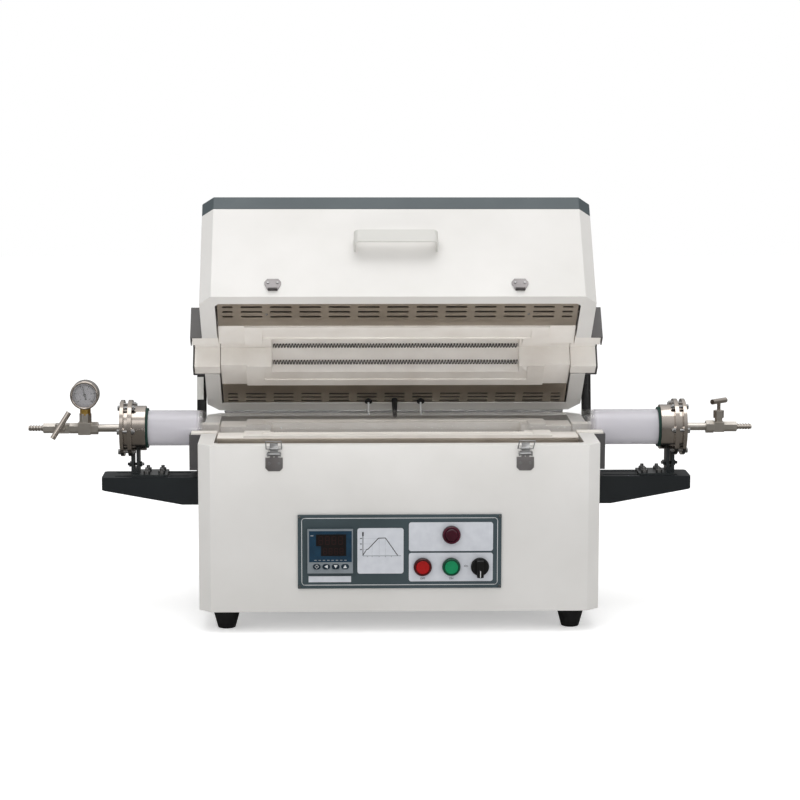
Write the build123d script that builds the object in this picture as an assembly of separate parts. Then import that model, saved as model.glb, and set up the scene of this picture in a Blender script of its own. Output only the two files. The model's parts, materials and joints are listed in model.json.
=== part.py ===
"""Benchtop split tube furnace: hinged lid held open by gas struts, quartz work tube with
vacuum flanges, gas fittings at both ends and a control panel in the front.

Millimetres. +X to the right, +Y to the back, +Z up, floor at z = 0. The parts are drawn with
y = 0 at the cabinet's front face and the lid closed; the lid is then turned open about its hinge,
and everything is moved so that the origin is under the middle of the whole furnace."""
from build123d import *
from math import cos, radians, sin, sqrt
import os

# ---- driving dimensions -------------------------------------------------------------------
WIDTH = 660.0
DEPTH = 350.0
CORNER = 20.0  # plan chamfer of the four upright corners
SHEET = 2.0
FOOT_HEIGHT = 35.0
FOOT_X = 286.0
FOOT_INSET_Y = 45.0
FOOT_RADIUS_LOW = 14.5
FOOT_RADIUS_HIGH = 24.0
SPLIT_Z = 316.0  # height of the hinge axis, and the level that most heights are counted from
RIM_Z = SPLIT_Z - 3.0  # top of the cabinet, where the lid closes on it
LID_WALL_HEIGHT = 179.0
CAP_HEIGHT = 26.0
RIM_SIDE = 26.0  # width of the rim beside the chamber opening
RIM_FRONT = 21.4
RIM_BACK = 24.0
RIM_CHAMFER = 6.0
CUT = 1.0  # how far a cutting shape runs on past the face it opens
HINGE_Y = 355.0
LID_OPEN_DEG = 41.0
LID_GAP = 0.6  # between the closed lid and the cabinet

TUBE_X = 11.5  # the work tube sits a little to the right of the cabinet's middle
TUBE_Y = 178.0
TUBE_Z = SPLIT_Z - 2.0
TUBE_RADIUS = 30.0
TUBE_WALL = 2.5
TUBE_LENGTH = 900.0

LID_FIBRE_FACE = SPLIT_Z - 1.0
BASE_FIBRE_FACE = SPLIT_Z - 1.6
BLOCK_HALF_LENGTH = 302.0
BLOCK_FRONT = 93.0
BLOCK_BACK = 271.0
BLOCK_HEIGHT = 110.0
END_STEP_X = 258.0  # beyond this the block's face is set back
END_STEP = 3.5
GROOVE_NEAR = 53.0  # groove beside the chamber, from the tube's axis
GROOVE_FAR = 75.0
GROOVE_DEPTH = 2.0
MODULE_HALF_LENGTH = 228.0
MODULE_HALF_DEPTH = 79.0
MODULE_HEIGHT = 84.0
CHAMBER_HALF_LENGTH = 214.0
CHAMBER_RADIUS = 50.0
CHANNEL_MOUTH = 34.0  # half width of the tube channel at the split
CHANNEL_ROOF = 27.0
CHANNEL_DEPTH = 35.0
COIL_RADIUS = 3.0
COIL_GAP = 0.3
COIL_ANGLES = (22, 56, 90, 124, 158)

COVER_PROUD = 20.0
LID_STRIP_DEPTH = 0.5
LID_TROUGH_RISE = 3.5
BASE_STRIP_DEPTH = 45.0
BASE_TROUGH_RISE = 7.0
STRIP_FRONT = 14.0
STRIP_BACK = 334.0
BEND_FRONT = 73.0
BEND_BACK = 293.0
SLOT_ROWS = (34.0, 48.0, 62.0, 300.5, 311.5, 322.5)
SLOT_COUNT = 11
SLOT_PITCH = 48.8
SLOT_LENGTH = 36.5
SLOT_WIDTH = 5.0
END_SLOT_X = 284.0
END_SLOT_LENGTH = 18.0
COVER_HALF = 58.0
LID_COVER_TOP = SPLIT_Z + 60.0
BASE_COVER_TOP = SPLIT_Z - 4.8
BASE_COVER_BOTTOM = SPLIT_Z - 65.0

SEAL_START = 433.0  # distances along the tube from its middle
FLANGE_START = 437.0
SEAL_END = 440.5
FLANGE_RING = 459.5
FLANGE_SPLIT = 466.5
CAP_START = 473.5
CAP_END = 479.5
SEAL_RADIUS = 34.0
FLANGE_RADIUS = 38.0
RING_RADIUS = 48.0
BOLT_CIRCLE = 43.0
BOLT_COUNT = 6

ARM_TOP = SPLIT_Z - 82.0
ARM_END = 500.0
ARM_HALF_DEPTH = 32.0
ARM_WALL = 2.5
ARM_TIP = 22.0  # depth of the side walls at the outer end
ARM_ROOT = 47.0
ARM_ROOT_RUN = 34.0
ARM_CHAMFER = 4.0
ARM_SLOT_LENGTH = 128.0
ARM_SLOT_WIDTH = 7.0
FOOT_NEAR = 401.0  # foot plates and posts, from the tube's middle
FOOT_FAR = 461.0
FOOT_HALF_DEPTH = 28.0
FOOT_THICK = 4.0
FOOT_BOLTS = (411.0, 436.0)
POST_DISTANCE = 455.5
POST_HALF = 7.0
POST_HALF_DEPTH = 15.0
CLAMP_HEIGHT = 14.0
CLAMP_RADIUS = 2.5
FOOT_BOLT_RADIUS = 3.0

PANEL_HALF_WIDTH = 167.0
PANEL_BOTTOM = SPLIT_Z - 241.0
PANEL_TOP = SPLIT_Z - 118.0
PANEL_THICK = 3.0
PLATE_THICK = 1.0
PANEL_LAP = 8.0  # the panel overlaps the opening behind it by this much
PLATE_CORNER = 4.0
BUTTON_ROW = SPLIT_Z - 204.7
STOP_X = 37.7
START_X = 84.7
SELECTOR_X = 131.7
LAMP_Z = SPLIT_Z - 151.2
BEZEL_RADIUS = 15.0
BARREL_RADIUS = 12.4
BUTTON_RADIUS = 11.1
KEY_XS = (-136.0, -120.5, -105.0, -89.5)
KEY_Z = SPLIT_Z - 203.0
KEY_GAP = 0.3
KEY_SEAT = -5.0
CASE_FRONT = -9.0
CASE_BACK = 85.0
SCREEN_PROUD = 0.5

LATCH_X = 205.0
HANDLE_HALF = 70.3
HANDLE_REACH = 29.0
HANDLE_STRAP = 3.0
CATCH_SHIFT = -3.0  # the lid's catches and handle sit a little to the left
LATCH_PIVOT_Y = -5.0
LATCH_PIVOT_Z = SPLIT_Z - 17.0
LATCH_PIN = 1.5
BAIL_PIVOT_Z = SPLIT_Z - 8.0
BAIL_LENGTH = 38.0
BAIL_LEAN = 62.0  # how far the bail leans out at rest
WIRE_RADIUS = 0.9
PIN_GAP = 0.08  # radial clearance of the small running pins

STRUT_X = 339.3
STRUT_BARREL = 8.5
STRUT_LEVER = sqrt(2) * 80.0  # both strut pivots are this far from the hinge axis
STRUT_LID_PIVOT = (HINGE_Y - 80.0, SPLIT_Z + 80.0)
STRUT_BASE_PIVOT = (HINGE_Y - sqrt(STRUT_LEVER**2 - 100.0**2), SPLIT_Z - 100.0)
STRUT_CYLINDER_LENGTH = 130.0
STRUT_ROD_LENGTH = 112.0

HINGE_HALF = 300.0
HINGE_THIRD = 100.0  # the lid's knuckle is in the middle, the cabinet's on both sides of it
HINGE_LEAF = 2.5
HINGE_LEAF_FAR = 34.0
HINGE_LEAF_NEAR = 6.0
GAUGE_X = TUBE_X - 540.0
GAUGE_Z = SPLIT_Z + 55.8
GAUGE_RADIUS = 24.0
INLET_VALVE_X = TUBE_X - 579.0
OUTLET_VALVE_X = TUBE_X + 539.0

FAN_X = -205.0
FAN_Z = 120.0
FAN_HALF = 40.0

GLAND_X = 250.0
GLAND_Z = 75.0
GLAND_THREAD = 10.0
VENT_XS = (-60.0, 20.0, 100.0)
VENT_ROWS = 6
VENT_Z = 85.0
VENT_PITCH = 12.0
VENT_HALF = 30.0
BACK_HALF_WIDTH = WIDTH / 2 - CORNER - 6.0
BACK_TOP = SPLIT_Z - 36.0

SLOT_OFFSET = 17.0

PIPE_BORE = 4.0
PIPE_RADIUS = 6.5

HOSE_RADIUS = 4.0
SPINDLE_RADIUS = 3.0
SPINDLE_SEAT = 10.0  # where the spindle's bore ends, from the tube's axis

GAUGE_FRONT = TUBE_Y - 13.0
GAUGE_BACK = TUBE_Y + 11.0

NEEDLE_TILT = 13.0

INLET_VALVE_LIFT = 18.0  # the inlet valve points to the front and this much upwards
INLET_BAR_TILT = 59.0
INLET_BAR_Y = TUBE_Y - 28.0
INLET_BONNET = 18.0
OUTLET_BAR_TURN = 42.0
OUTLET_BAR_Z = TUBE_Z + 44.0
OUTLET_BONNET = 28.0
BAR_RADIUS = 4.5
INLET_BAR_HALF = 26.0
OUTLET_BAR_HALF = 18.0

KNUCKLE_RADIUS = 4.5
HINGE_PIN = 2.5

SIDES = (-1, 1)


# ---- plain shapes -------------------------------------------------------------------------
def box(x0, x1, y0, y1, z0, z1):
    size = Box(x1 - x0, y1 - y0, z1 - z0)
    return Pos((x0 + x1) / 2, (y0 + y1) / 2, (z0 + z1) / 2) * size


def rod(start, end, radius):
    """Round bar between two points."""
    start = Vector(*start)
    path = Vector(*end) - start
    plane = Plane(origin=start, z_dir=path)
    return extrude(plane * Circle(radius), path.length)


def rod_x(x0, x1, y, z, radius):
    return rod((x0, y, z), (x1, y, z), radius)


def rod_y(y0, y1, x, z, radius):
    return rod((x, y0, z), (x, y1, z), radius)


def rod_z(z0, z1, x, y, radius):
    return rod((x, y, z0), (x, y, z1), radius)


def hexagon_x(x0, x1, y, z, across):
    """Hexagon bar along X, by its width across the flats."""
    plane = Plane(origin=(x0, y, z), z_dir=(1, 0, 0))
    return extrude(plane * RegularPolygon(across / 2, 6, major_radius=False), x1 - x0)


def hexagon_z(z0, z1, x, y, across):
    plane = Plane(origin=(x, y, z0), z_dir=(0, 0, 1))
    return extrude(plane * RegularPolygon(across / 2, 6, major_radius=False), z1 - z0)


def bar_x(x0, x1, points):
    """Bar along X whose section is the (y, z) points."""
    face = make_face(Polyline([(x0, y, z) for y, z in points], close=True))
    return extrude(face, x1 - x0, dir=(1, 0, 0))


def plan_block(inset, z0, z1):
    """The cabinet's plan with chamfered corners, drawn in by inset on every side."""
    half = WIDTH / 2 - inset
    front = inset
    back = DEPTH - inset
    cut = CORNER - inset * 0.6
    points = [(-half, front + cut), (-half + cut, front), (half - cut, front), (half, front + cut)]
    points += [(half, back - cut), (half - cut, back), (-half + cut, back), (-half, back - cut)]
    face = make_face(Polyline([(x, y, z0) for x, y in points], close=True))
    return extrude(face, z1 - z0, dir=(0, 0, 1))


def solid_list(shape):
    """The separate solids of a shape or of a list of shapes."""
    if isinstance(shape, (list, tuple)):
        return [solid for piece in shape for solid in solid_list(piece)]
    return list(shape.solids())


# ---- cabinet ------------------------------------------------------------------------------
def chamber_opening(z0, z1):
    half = WIDTH / 2 - RIM_SIDE
    opening = box(-half, half, RIM_FRONT, DEPTH - RIM_BACK, z0, z1)
    front_corners = opening.edges().filter_by(Axis.Z).sort_by(Axis.Y)[:2]
    return chamfer(front_corners, RIM_CHAMFER)


def saddle_slots(z0, z1):
    """Gaps in both side walls that the fibre saddles pass through."""
    edge = WIDTH / 2
    reach = RIM_SIDE + 1
    half = COVER_HALF - 2
    return [
        box(side * edge - reach, side * edge + reach, TUBE_Y - half, TUBE_Y + half, z0, z1)
        for side in SIDES
    ]


def cabinet_shell():
    shell = plan_block(0, FOOT_HEIGHT, RIM_Z)
    shell -= plan_block(SHEET, FOOT_HEIGHT - CUT, RIM_Z - SHEET)
    shell -= chamber_opening(RIM_Z - SHEET - CUT, RIM_Z + CUT)
    shell -= saddle_slots(BASE_COVER_BOTTOM + SHEET + CUT, RIM_Z + CUT)
    half = BACK_HALF_WIDTH
    shell -= box(-half, half, DEPTH - SHEET - CUT, DEPTH + CUT, FOOT_HEIGHT - CUT, BACK_TOP)
    half = PANEL_HALF_WIDTH - PANEL_LAP
    bottom = PANEL_BOTTOM + PANEL_LAP
    shell -= box(-half, half, -CUT, SHEET + CUT, bottom, PANEL_TOP - PANEL_LAP)
    return shell


def back_panel():
    half = BACK_HALF_WIDTH
    front = DEPTH - SHEET - CUT
    back = DEPTH + CUT
    panel = box(-half, half, DEPTH - SHEET, DEPTH, FOOT_HEIGHT + SHEET, BACK_TOP)
    panel -= rod_y(front, back, FAN_X, FAN_Z, FAN_HALF - 3)
    panel -= rod_y(front, back, GLAND_X, GLAND_Z, GLAND_THREAD)
    for row in range(VENT_ROWS):
        z = VENT_Z + row * VENT_PITCH
        for x in VENT_XS:
            panel -= box(x - VENT_HALF, x + VENT_HALF, front, back, z - SHEET, z + SHEET)
    return panel


def cabinet_floor():
    return plan_block(SHEET, FOOT_HEIGHT, FOOT_HEIGHT + SHEET)


def rubber_feet():
    feet = []
    for side in SIDES:
        for y in (FOOT_INSET_Y, DEPTH - FOOT_INSET_Y):
            foot = Cone(FOOT_RADIUS_LOW, FOOT_RADIUS_HIGH, FOOT_HEIGHT)
            feet.append(Pos(side * FOOT_X, y, FOOT_HEIGHT / 2) * foot)
    return feet


def fibre_face(side):
    """Height of the insulation's face, in the lid and in the base."""
    return LID_FIBRE_FACE if side > 0 else BASE_FIBRE_FACE


def liner(side):
    """The trough that carries the fibre block, with a slotted strip in front and behind."""
    strip = LID_STRIP_DEPTH if side > 0 else BASE_STRIP_DEPTH
    rise = LID_TROUGH_RISE if side > 0 else BASE_TROUGH_RISE
    edge = max(strip, rise) if side > 0 else strip
    floor = BLOCK_HEIGHT + 2 * SHEET
    front = BLOCK_FRONT
    back = BLOCK_BACK
    outer = front - SHEET, back + SHEET
    trough = [(outer[0], rise), (front, rise), (front, floor), (back, floor), (back, rise)]
    trough += [(outer[1], rise), (outer[1], floor + SHEET), (outer[0], floor + SHEET)]
    front_strip = [(STRIP_FRONT, strip), (BEND_FRONT, strip), (front - CUT, edge)]
    front_strip += [(y, depth + SHEET) for y, depth in reversed(front_strip)]
    back_strip = [(STRIP_BACK, strip), (BEND_BACK, strip), (back + CUT, edge)]
    back_strip += [(y, depth + SHEET) for y, depth in reversed(back_strip)]
    half = WIDTH / 2 - RIM_SIDE - 3
    sections = []
    for points in (trough, front_strip, back_strip):
        sections.append([(y, SPLIT_Z + side * depth) for y, depth in points])
    sheet = bar_x(-half, half, sections[0])
    sheet += bar_x(-half, half, sections[1])
    sheet += bar_x(-half, half, sections[2])
    low, high = sorted((SPLIT_Z + side * (strip - CUT), SPLIT_Z + side * (strip + SHEET + CUT)))
    return sheet - slot_cuts(low, high)


def slot_cuts(low, high):
    """Three rows of cooling slots along each strip."""
    cuts = []
    middle = SLOT_COUNT // 2
    spans = [((i - middle) * SLOT_PITCH, SLOT_LENGTH) for i in range(SLOT_COUNT)]
    spans += [(side * END_SLOT_X, END_SLOT_LENGTH) for side in SIDES]
    for y in SLOT_ROWS:
        for x, length in spans:
            slot = Plane(origin=(x, y, low), z_dir=(0, 0, 1)) * SlotOverall(length, SLOT_WIDTH)
            cuts.append(extrude(slot, high - low))
    return cuts


def tube_channel(x0, x1, side):
    mouth = SPLIT_Z - side * 5
    roof = SPLIT_Z + side * CHANNEL_DEPTH
    points = [(TUBE_Y - CHANNEL_MOUTH, mouth), (TUBE_Y - CHANNEL_ROOF, roof)]
    points += [(TUBE_Y + CHANNEL_ROOF, roof), (TUBE_Y + CHANNEL_MOUTH, mouth)]
    return bar_x(x0, x1, points)


def slab(half_length, y0, y1, edge, far):
    """Box across the tube in plan, between two heights given in either order."""
    low, high = sorted((edge, far))
    return box(-half_length, half_length, y0, y1, low, high)


def end_steps(face, side):
    """What is taken off the block's face at both ends."""
    steps = []
    for end in SIDES:
        x0, x1 = sorted((end * END_STEP_X, end * (BLOCK_HALF_LENGTH + CUT)))
        low, high = sorted((face - side * CUT, face + side * END_STEP))
        steps.append(box(x0, x1, BLOCK_FRONT - CUT, BLOCK_BACK + CUT, low, high))
    return steps


def chamber_grooves(face, side):
    """Shallow grooves in the heater module, in front of and behind the chamber."""
    half = MODULE_HALF_LENGTH + CUT
    grooves = []
    for back in SIDES:
        y0, y1 = sorted((TUBE_Y + back * GROOVE_NEAR, TUBE_Y + back * GROOVE_FAR))
        grooves.append(slab(half, y0, y1, face - side * CUT, face + side * GROOVE_DEPTH))
    return grooves


def fibre_saddles(side):
    """End pieces that carry the tube where it leaves the cabinet."""
    saddles = []
    far = LID_COVER_TOP if side > 0 else BASE_COVER_BOTTOM
    low, high = sorted((fibre_face(side), far - side * 2 * SHEET))
    half = COVER_HALF - SHEET - CUT
    for end in SIDES:
        outer = WIDTH / 2 + COVER_PROUD - SHEET - CUT
        x0, x1 = sorted((end * (BLOCK_HALF_LENGTH + CUT), end * outer))
        saddle = box(x0, x1, TUBE_Y - half, TUBE_Y + half, low, high)
        saddles.append(saddle - tube_channel(x0 - CUT, x1 + CUT, side))
    return saddles


def fibre_parts(side):
    """One half of the insulation: block, heater half shell and the two end saddles."""
    face = fibre_face(side)
    reach = BLOCK_HALF_LENGTH
    top = SPLIT_Z + side * MODULE_HEIGHT
    near = TUBE_Y - MODULE_HALF_DEPTH
    far = TUBE_Y + MODULE_HALF_DEPTH
    block = slab(reach, BLOCK_FRONT, BLOCK_BACK, face, SPLIT_Z + side * (BLOCK_HEIGHT + SHEET))
    block -= slab(MODULE_HALF_LENGTH, near, far, face - side * CUT, top)
    block -= tube_channel(-reach - CUT, reach + CUT, side)
    block -= end_steps(face, side)
    module = slab(MODULE_HALF_LENGTH, near, far, face, top)
    module -= rod_x(-CHAMBER_HALF_LENGTH, CHAMBER_HALF_LENGTH, TUBE_Y, TUBE_Z, CHAMBER_RADIUS)
    module -= tube_channel(-MODULE_HALF_LENGTH - CUT, MODULE_HALF_LENGTH + CUT, side)
    module -= coil_rods(side, COIL_RADIUS + COIL_GAP, CHAMBER_HALF_LENGTH)
    module -= chamber_grooves(face, side)
    return [block, module] + fibre_saddles(side)


def coil_rods(side, radius, half_length):
    """Straight envelopes of the heating spirals, half sunk in the chamber wall."""
    rods = []
    for angle in COIL_ANGLES:
        y = TUBE_Y + CHAMBER_RADIUS * cos(radians(angle))
        z = TUBE_Z + side * CHAMBER_RADIUS * sin(radians(angle))
        rods.append(rod_x(-half_length, half_length, y, z, radius))
    return rods


def side_covers(side):
    """Dark sheet boxes over the tube exits, open towards the wall and the split."""
    covers = []
    near = RIM_Z + LID_GAP if side > 0 else BASE_COVER_TOP
    far = LID_COVER_TOP if side > 0 else BASE_COVER_BOTTOM
    low, high = sorted((near, far))
    for end in SIDES:
        inner = end * WIDTH / 2
        outer = end * (WIDTH / 2 + COVER_PROUD)
        x0, x1 = sorted((inner, outer))
        cover = box(x0, x1, TUBE_Y - COVER_HALF, TUBE_Y + COVER_HALF, low, high)
        c0, c1 = sorted((inner - end * CUT, outer - end * SHEET))
        h0, h1 = sorted((near - side * CUT, far - side * SHEET))
        half = COVER_HALF - SHEET
        cover -= box(c0, c1, TUBE_Y - half, TUBE_Y + half, h0, h1)
        cover -= tube_channel(x0 - CUT, x1 + CUT, side)
        covers.append(cover)
    return covers


# ---- control panel ------------------------------------------------------------------------
def control_places():
    """Where the lamp, the two buttons and the selector sit, as (x, z)."""
    places = [(x, BUTTON_ROW) for x in (STOP_X, START_X, SELECTOR_X)]
    return places + [(START_X, LAMP_Z)]


def panel_holes(y0, y1):
    return [rod_y(y0, y1, x, z, BARREL_RADIUS) for x, z in control_places()]


def rounded_plate(x0, x1, y0, y1, z0, z1):
    plate = box(x0, x1, y0, y1, z0, z1)
    return fillet(plate.edges().filter_by(Axis.Y), PLATE_CORNER)


def control_panel():
    plate = box(-PANEL_HALF_WIDTH, PANEL_HALF_WIDTH, -PANEL_THICK, 0, PANEL_BOTTOM, PANEL_TOP)
    plate -= panel_holes(-PANEL_THICK - CUT, CUT)
    return plate - controller_body(-PANEL_THICK - CUT, CUT)


def panel_plates():
    back = -PANEL_THICK
    front = -PANEL_THICK - PLATE_THICK
    graph = rounded_plate(-69.4, 6.3, front, back, SPLIT_Z - 216, SPLIT_Z - 140)
    strip = box(-149.5, -79.8, front, back, SPLIT_Z - 230, SPLIT_Z - 220)
    upper = rounded_plate(15, 153, front, back, SPLIT_Z - 178.7, SPLIT_Z - 130.6)
    lower = rounded_plate(15, 153, front, back, SPLIT_Z - 229.3, SPLIT_Z - 181.7)
    upper -= panel_holes(front - CUT, back + CUT)
    lower -= panel_holes(front - CUT, back + CUT)
    return [graph, strip, upper, lower]


def key_shape(x, y0, y1, grow):
    plane = Plane(origin=(x, y1, KEY_Z), x_dir=(1, 0, 0), z_dir=(0, -1, 0))
    return extrude(plane * SlotOverall(12.0 + 2 * grow, 8.0 + 2 * grow), y1 - y0)


def controller_case():
    front = box(-151.2, -76.6, CASE_FRONT, -PANEL_THICK, SPLIT_Z - 214.2, SPLIT_Z - 141)
    case = front + controller_body(-PANEL_THICK, CASE_BACK)
    case -= screen_block(CASE_FRONT - CUT)
    for x in KEY_XS:
        case -= key_shape(x, CASE_FRONT - CUT, KEY_SEAT, KEY_GAP)
    return case


def controller_body(y0, y1):
    return box(-147, -81, y0, y1, SPLIT_Z - 210, SPLIT_Z - 146)


def screen_block(front):
    return box(-140, -86, front, CASE_FRONT + CUT, SPLIT_Z - 186, SPLIT_Z - 147)


def controller_screen():
    return screen_block(CASE_FRONT - SCREEN_PROUD)


def controller_key(x):
    return key_shape(x, -10.2, -6, 0)


def button_bezels():
    """Threaded barrels with a round front flange, one for each lamp, button or knob."""
    bezels = []
    flange_back = -PANEL_THICK - PLATE_THICK
    for x, z in control_places():
        bezel = rod_y(-9, flange_back, x, z, BEZEL_RADIUS)
        bezel += rod_y(flange_back, 8, x, z, BARREL_RADIUS)
        bezel -= rod_y(-10, 2, x, z, BUTTON_RADIUS + 0.3)
        bezel -= rod_y(1, 9, x, z, 6.0 + PIN_GAP)
        bezels.append(bezel)
    return bezels


def alarm_lamp():
    x = START_X
    lens = rod_y(-13, 1.5, x, LAMP_Z, BUTTON_RADIUS)
    lens = fillet(lens.edges().filter_by(GeomType.CIRCLE).sort_by(Axis.Y)[0], 3.5)
    return lens + rod_y(1.5, 14, x, LAMP_Z, 5.5)


def push_button(x):
    cap = rod_y(-11.5, -6, x, BUTTON_ROW, BUTTON_RADIUS)
    cap = fillet(cap.edges().filter_by(GeomType.CIRCLE).sort_by(Axis.Y)[0], 1.2)
    return cap + rod_y(-6, 14, x, BUTTON_ROW, 6.0)


def selector_knob():
    x = SELECTOR_X
    skirt = rod_y(-12, -9.4, x, BUTTON_ROW, 14.0)
    knob = rod_y(-22, -12, x, BUTTON_ROW, 16.0)
    knob &= box(x - 5.5, x + 5.5, -23, -11, BUTTON_ROW - 17, BUTTON_ROW + 12)
    return skirt + knob + rod_y(-9.4, 14, x, BUTTON_ROW, 6.0)


# ---- latches ------------------------------------------------------------------------------
def mirrored(x, half_outline):
    """Closed outline from its right half, given as distances from x."""
    right = [(x + out, z) for out, z in half_outline]
    left = [(x - out, z) for out, z in reversed(half_outline)]
    return right + left


def latch_plates():
    """Base plates with a neck, ears, pivot pin and two screws each."""
    pieces = []
    outline = [(9.2, SPLIT_Z - 45.3), (14.2, SPLIT_Z - 40.3), (14.2, SPLIT_Z - 23)]
    outline += [(6.5, SPLIT_Z - 23), (6.5, SPLIT_Z - 20), (11.2, SPLIT_Z - 20)]
    outline += [(11.2, SPLIT_Z - 13.5)]
    for x in (-LATCH_X, LATCH_X):
        plate = bar_y(-1.5, 0, mirrored(x, outline))
        for side in SIDES:
            ear_x0, ear_x1 = sorted((x + side * 9.2, x + side * 11.2))
            plate += box(ear_x0, ear_x1, -8, -1, SPLIT_Z - 20, SPLIT_Z - 13.5)
        plate -= rod_x(x - 12, x + 12, LATCH_PIVOT_Y, LATCH_PIVOT_Z, LATCH_PIN)
        plate -= rod_y(-2, 1, x, SPLIT_Z - 21.5, 1.4)
        pieces += [plate, rod_x(x - 11.8, x + 11.8, LATCH_PIVOT_Y, LATCH_PIVOT_Z, LATCH_PIN)]
        pieces += [rod_y(-2.5, -1.5, x + side * 8, SPLIT_Z - 32.8, 2.2) for side in SIDES]
    return pieces


def latch_lever(x):
    lever = rod_x(x - 8.6, x + 8.6, LATCH_PIVOT_Y, LATCH_PIVOT_Z, 2.7)
    lever += box(x - 6.5, x + 6.5, -6.2, -3.8, LATCH_PIVOT_Z, SPLIT_Z + 2)
    lever += rod_x(x - 7.5, x + 7.5, LATCH_PIVOT_Y, BAIL_PIVOT_Z, 2.2)
    lever -= rod_x(x - 9, x + 9, LATCH_PIVOT_Y, LATCH_PIVOT_Z, LATCH_PIN + PIN_GAP)
    lever -= rod_x(x - 9, x + 9, LATCH_PIVOT_Y, BAIL_PIVOT_Z, WIRE_RADIUS + PIN_GAP)
    return lever


def latch_bail(x):
    """Wire loop that pivots in the lever, leans out and hooks over the catch on the lid."""
    half = 12.6
    top = BAIL_PIVOT_Z + BAIL_LENGTH
    wire = rod_x(x - half, x + half, LATCH_PIVOT_Y, BAIL_PIVOT_Z, WIRE_RADIUS)
    wire += rod_x(x - half, x + half, LATCH_PIVOT_Y, top, WIRE_RADIUS)
    for side in SIDES:
        wire += rod_z(BAIL_PIVOT_Z, top, x + side * half, LATCH_PIVOT_Y, WIRE_RADIUS)
        for z in (BAIL_PIVOT_Z, top):
            wire += Pos(x + side * half, LATCH_PIVOT_Y, z) * Sphere(WIRE_RADIUS)
    return wire.rotate(Axis((0, LATCH_PIVOT_Y, BAIL_PIVOT_Z), (1, 0, 0)), BAIL_LEAN)


def lid_catches():
    pieces = []
    outline = [(7.8, SPLIT_Z + 9.5), (13.8, SPLIT_Z + 22), (13.8, SPLIT_Z + 26.7)]
    outline += [(9.3, SPLIT_Z + 33)]
    for side in SIDES:
        x = side * LATCH_X + CATCH_SHIFT
        plate = bar_y(-1.5, 0, mirrored(x, outline))
        plate += box(x - 8, x + 8, -7.5, -1, SPLIT_Z + 11, SPLIT_Z + 13)
        plate += box(x - 8, x + 8, -7.5, -5.5, SPLIT_Z + 11, SPLIT_Z + 18)
        pieces.append(plate)
    return pieces


# ---- tube supports and work tube ----------------------------------------------------------
def bar_y(y0, y1, points):
    """Bar along Y whose section is the (x, z) points."""
    face = make_face(Polyline([(x, y0, z) for x, z in points], close=True))
    return extrude(face, y1 - y0, dir=(0, 1, 0))


def shelf_arms():
    """Folded sheet channels, open underneath, that carry the ends of the work tube."""
    arms = []
    root = WIDTH / 2
    outline = [(root, ARM_TOP), (ARM_END, ARM_TOP), (ARM_END, ARM_TOP - ARM_TIP)]
    outline += [(root + ARM_ROOT_RUN, ARM_TOP - ARM_ROOT), (root, ARM_TOP - ARM_ROOT)]
    inset = ARM_WALL
    below = ARM_TOP - ARM_ROOT - CUT
    for side in SIDES:
        section = [(side * x, z) for x, z in outline]
        arm = bar_y(TUBE_Y - ARM_HALF_DEPTH, TUBE_Y + ARM_HALF_DEPTH, section)
        ends = arm.edges().filter_by(Axis.Z).group_by(Axis.X)[0 if side < 0 else -1]
        arm = chamfer(ends, ARM_CHAMFER)
        x0, x1 = sorted((side * (root + inset), side * (ARM_END - ARM_CHAMFER)))
        half = ARM_HALF_DEPTH - inset
        arm -= box(x0, x1, TUBE_Y - half, TUBE_Y + half, below, ARM_TOP - inset)
        for y in (TUBE_Y - SLOT_OFFSET, TUBE_Y + SLOT_OFFSET):
            middle = side * (root + ARM_END) / 2
            plane = Plane(origin=(middle, y, ARM_TOP - 2 * inset), z_dir=(0, 0, 1))
            slot = plane * SlotOverall(ARM_SLOT_LENGTH, ARM_SLOT_WIDTH)
            arm -= extrude(slot, 3 * inset)
        arms.append(arm)
    return arms


def foot_bolt_places(side):
    places = []
    for distance in FOOT_BOLTS:
        for y in (TUBE_Y - SLOT_OFFSET, TUBE_Y + SLOT_OFFSET):
            places.append((TUBE_X + side * distance, y))
    return places


def foot_bracket(side):
    """Foot plate on an arm with the forked post up to the flange."""
    plate_top = ARM_TOP + FOOT_THICK
    post_x = TUBE_X + side * POST_DISTANCE
    x0, x1 = along(side, FOOT_NEAR, FOOT_FAR)
    bracket = box(x0, x1, TUBE_Y - FOOT_HALF_DEPTH, TUBE_Y + FOOT_HALF_DEPTH, ARM_TOP, plate_top)
    depth = POST_HALF_DEPTH
    left = post_x - POST_HALF
    right = post_x + POST_HALF
    post = box(left, right, TUBE_Y - depth, TUBE_Y + depth, plate_top - CUT, TUBE_Z - TUBE_RADIUS)
    depth += CUT
    post -= box(post_x - 2, post_x + 2, TUBE_Y - depth, TUBE_Y + depth, plate_top + 8, TUBE_Z)
    post -= disc(side, FLANGE_START - CUT, FLANGE_RING + CUT, FLANGE_RADIUS)
    post -= disc(side, FLANGE_RING, FLANGE_SPLIT + CUT, RING_RADIUS)
    bracket += post
    bracket -= rod_x(left - CUT, right + CUT, TUBE_Y, plate_top + CLAMP_HEIGHT, CLAMP_RADIUS + 0.2)
    for x, y in foot_bolt_places(side):
        bracket -= rod_z(ARM_TOP - CUT, plate_top + CUT, x, y, FOOT_BOLT_RADIUS + 0.2)
    return bracket


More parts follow.
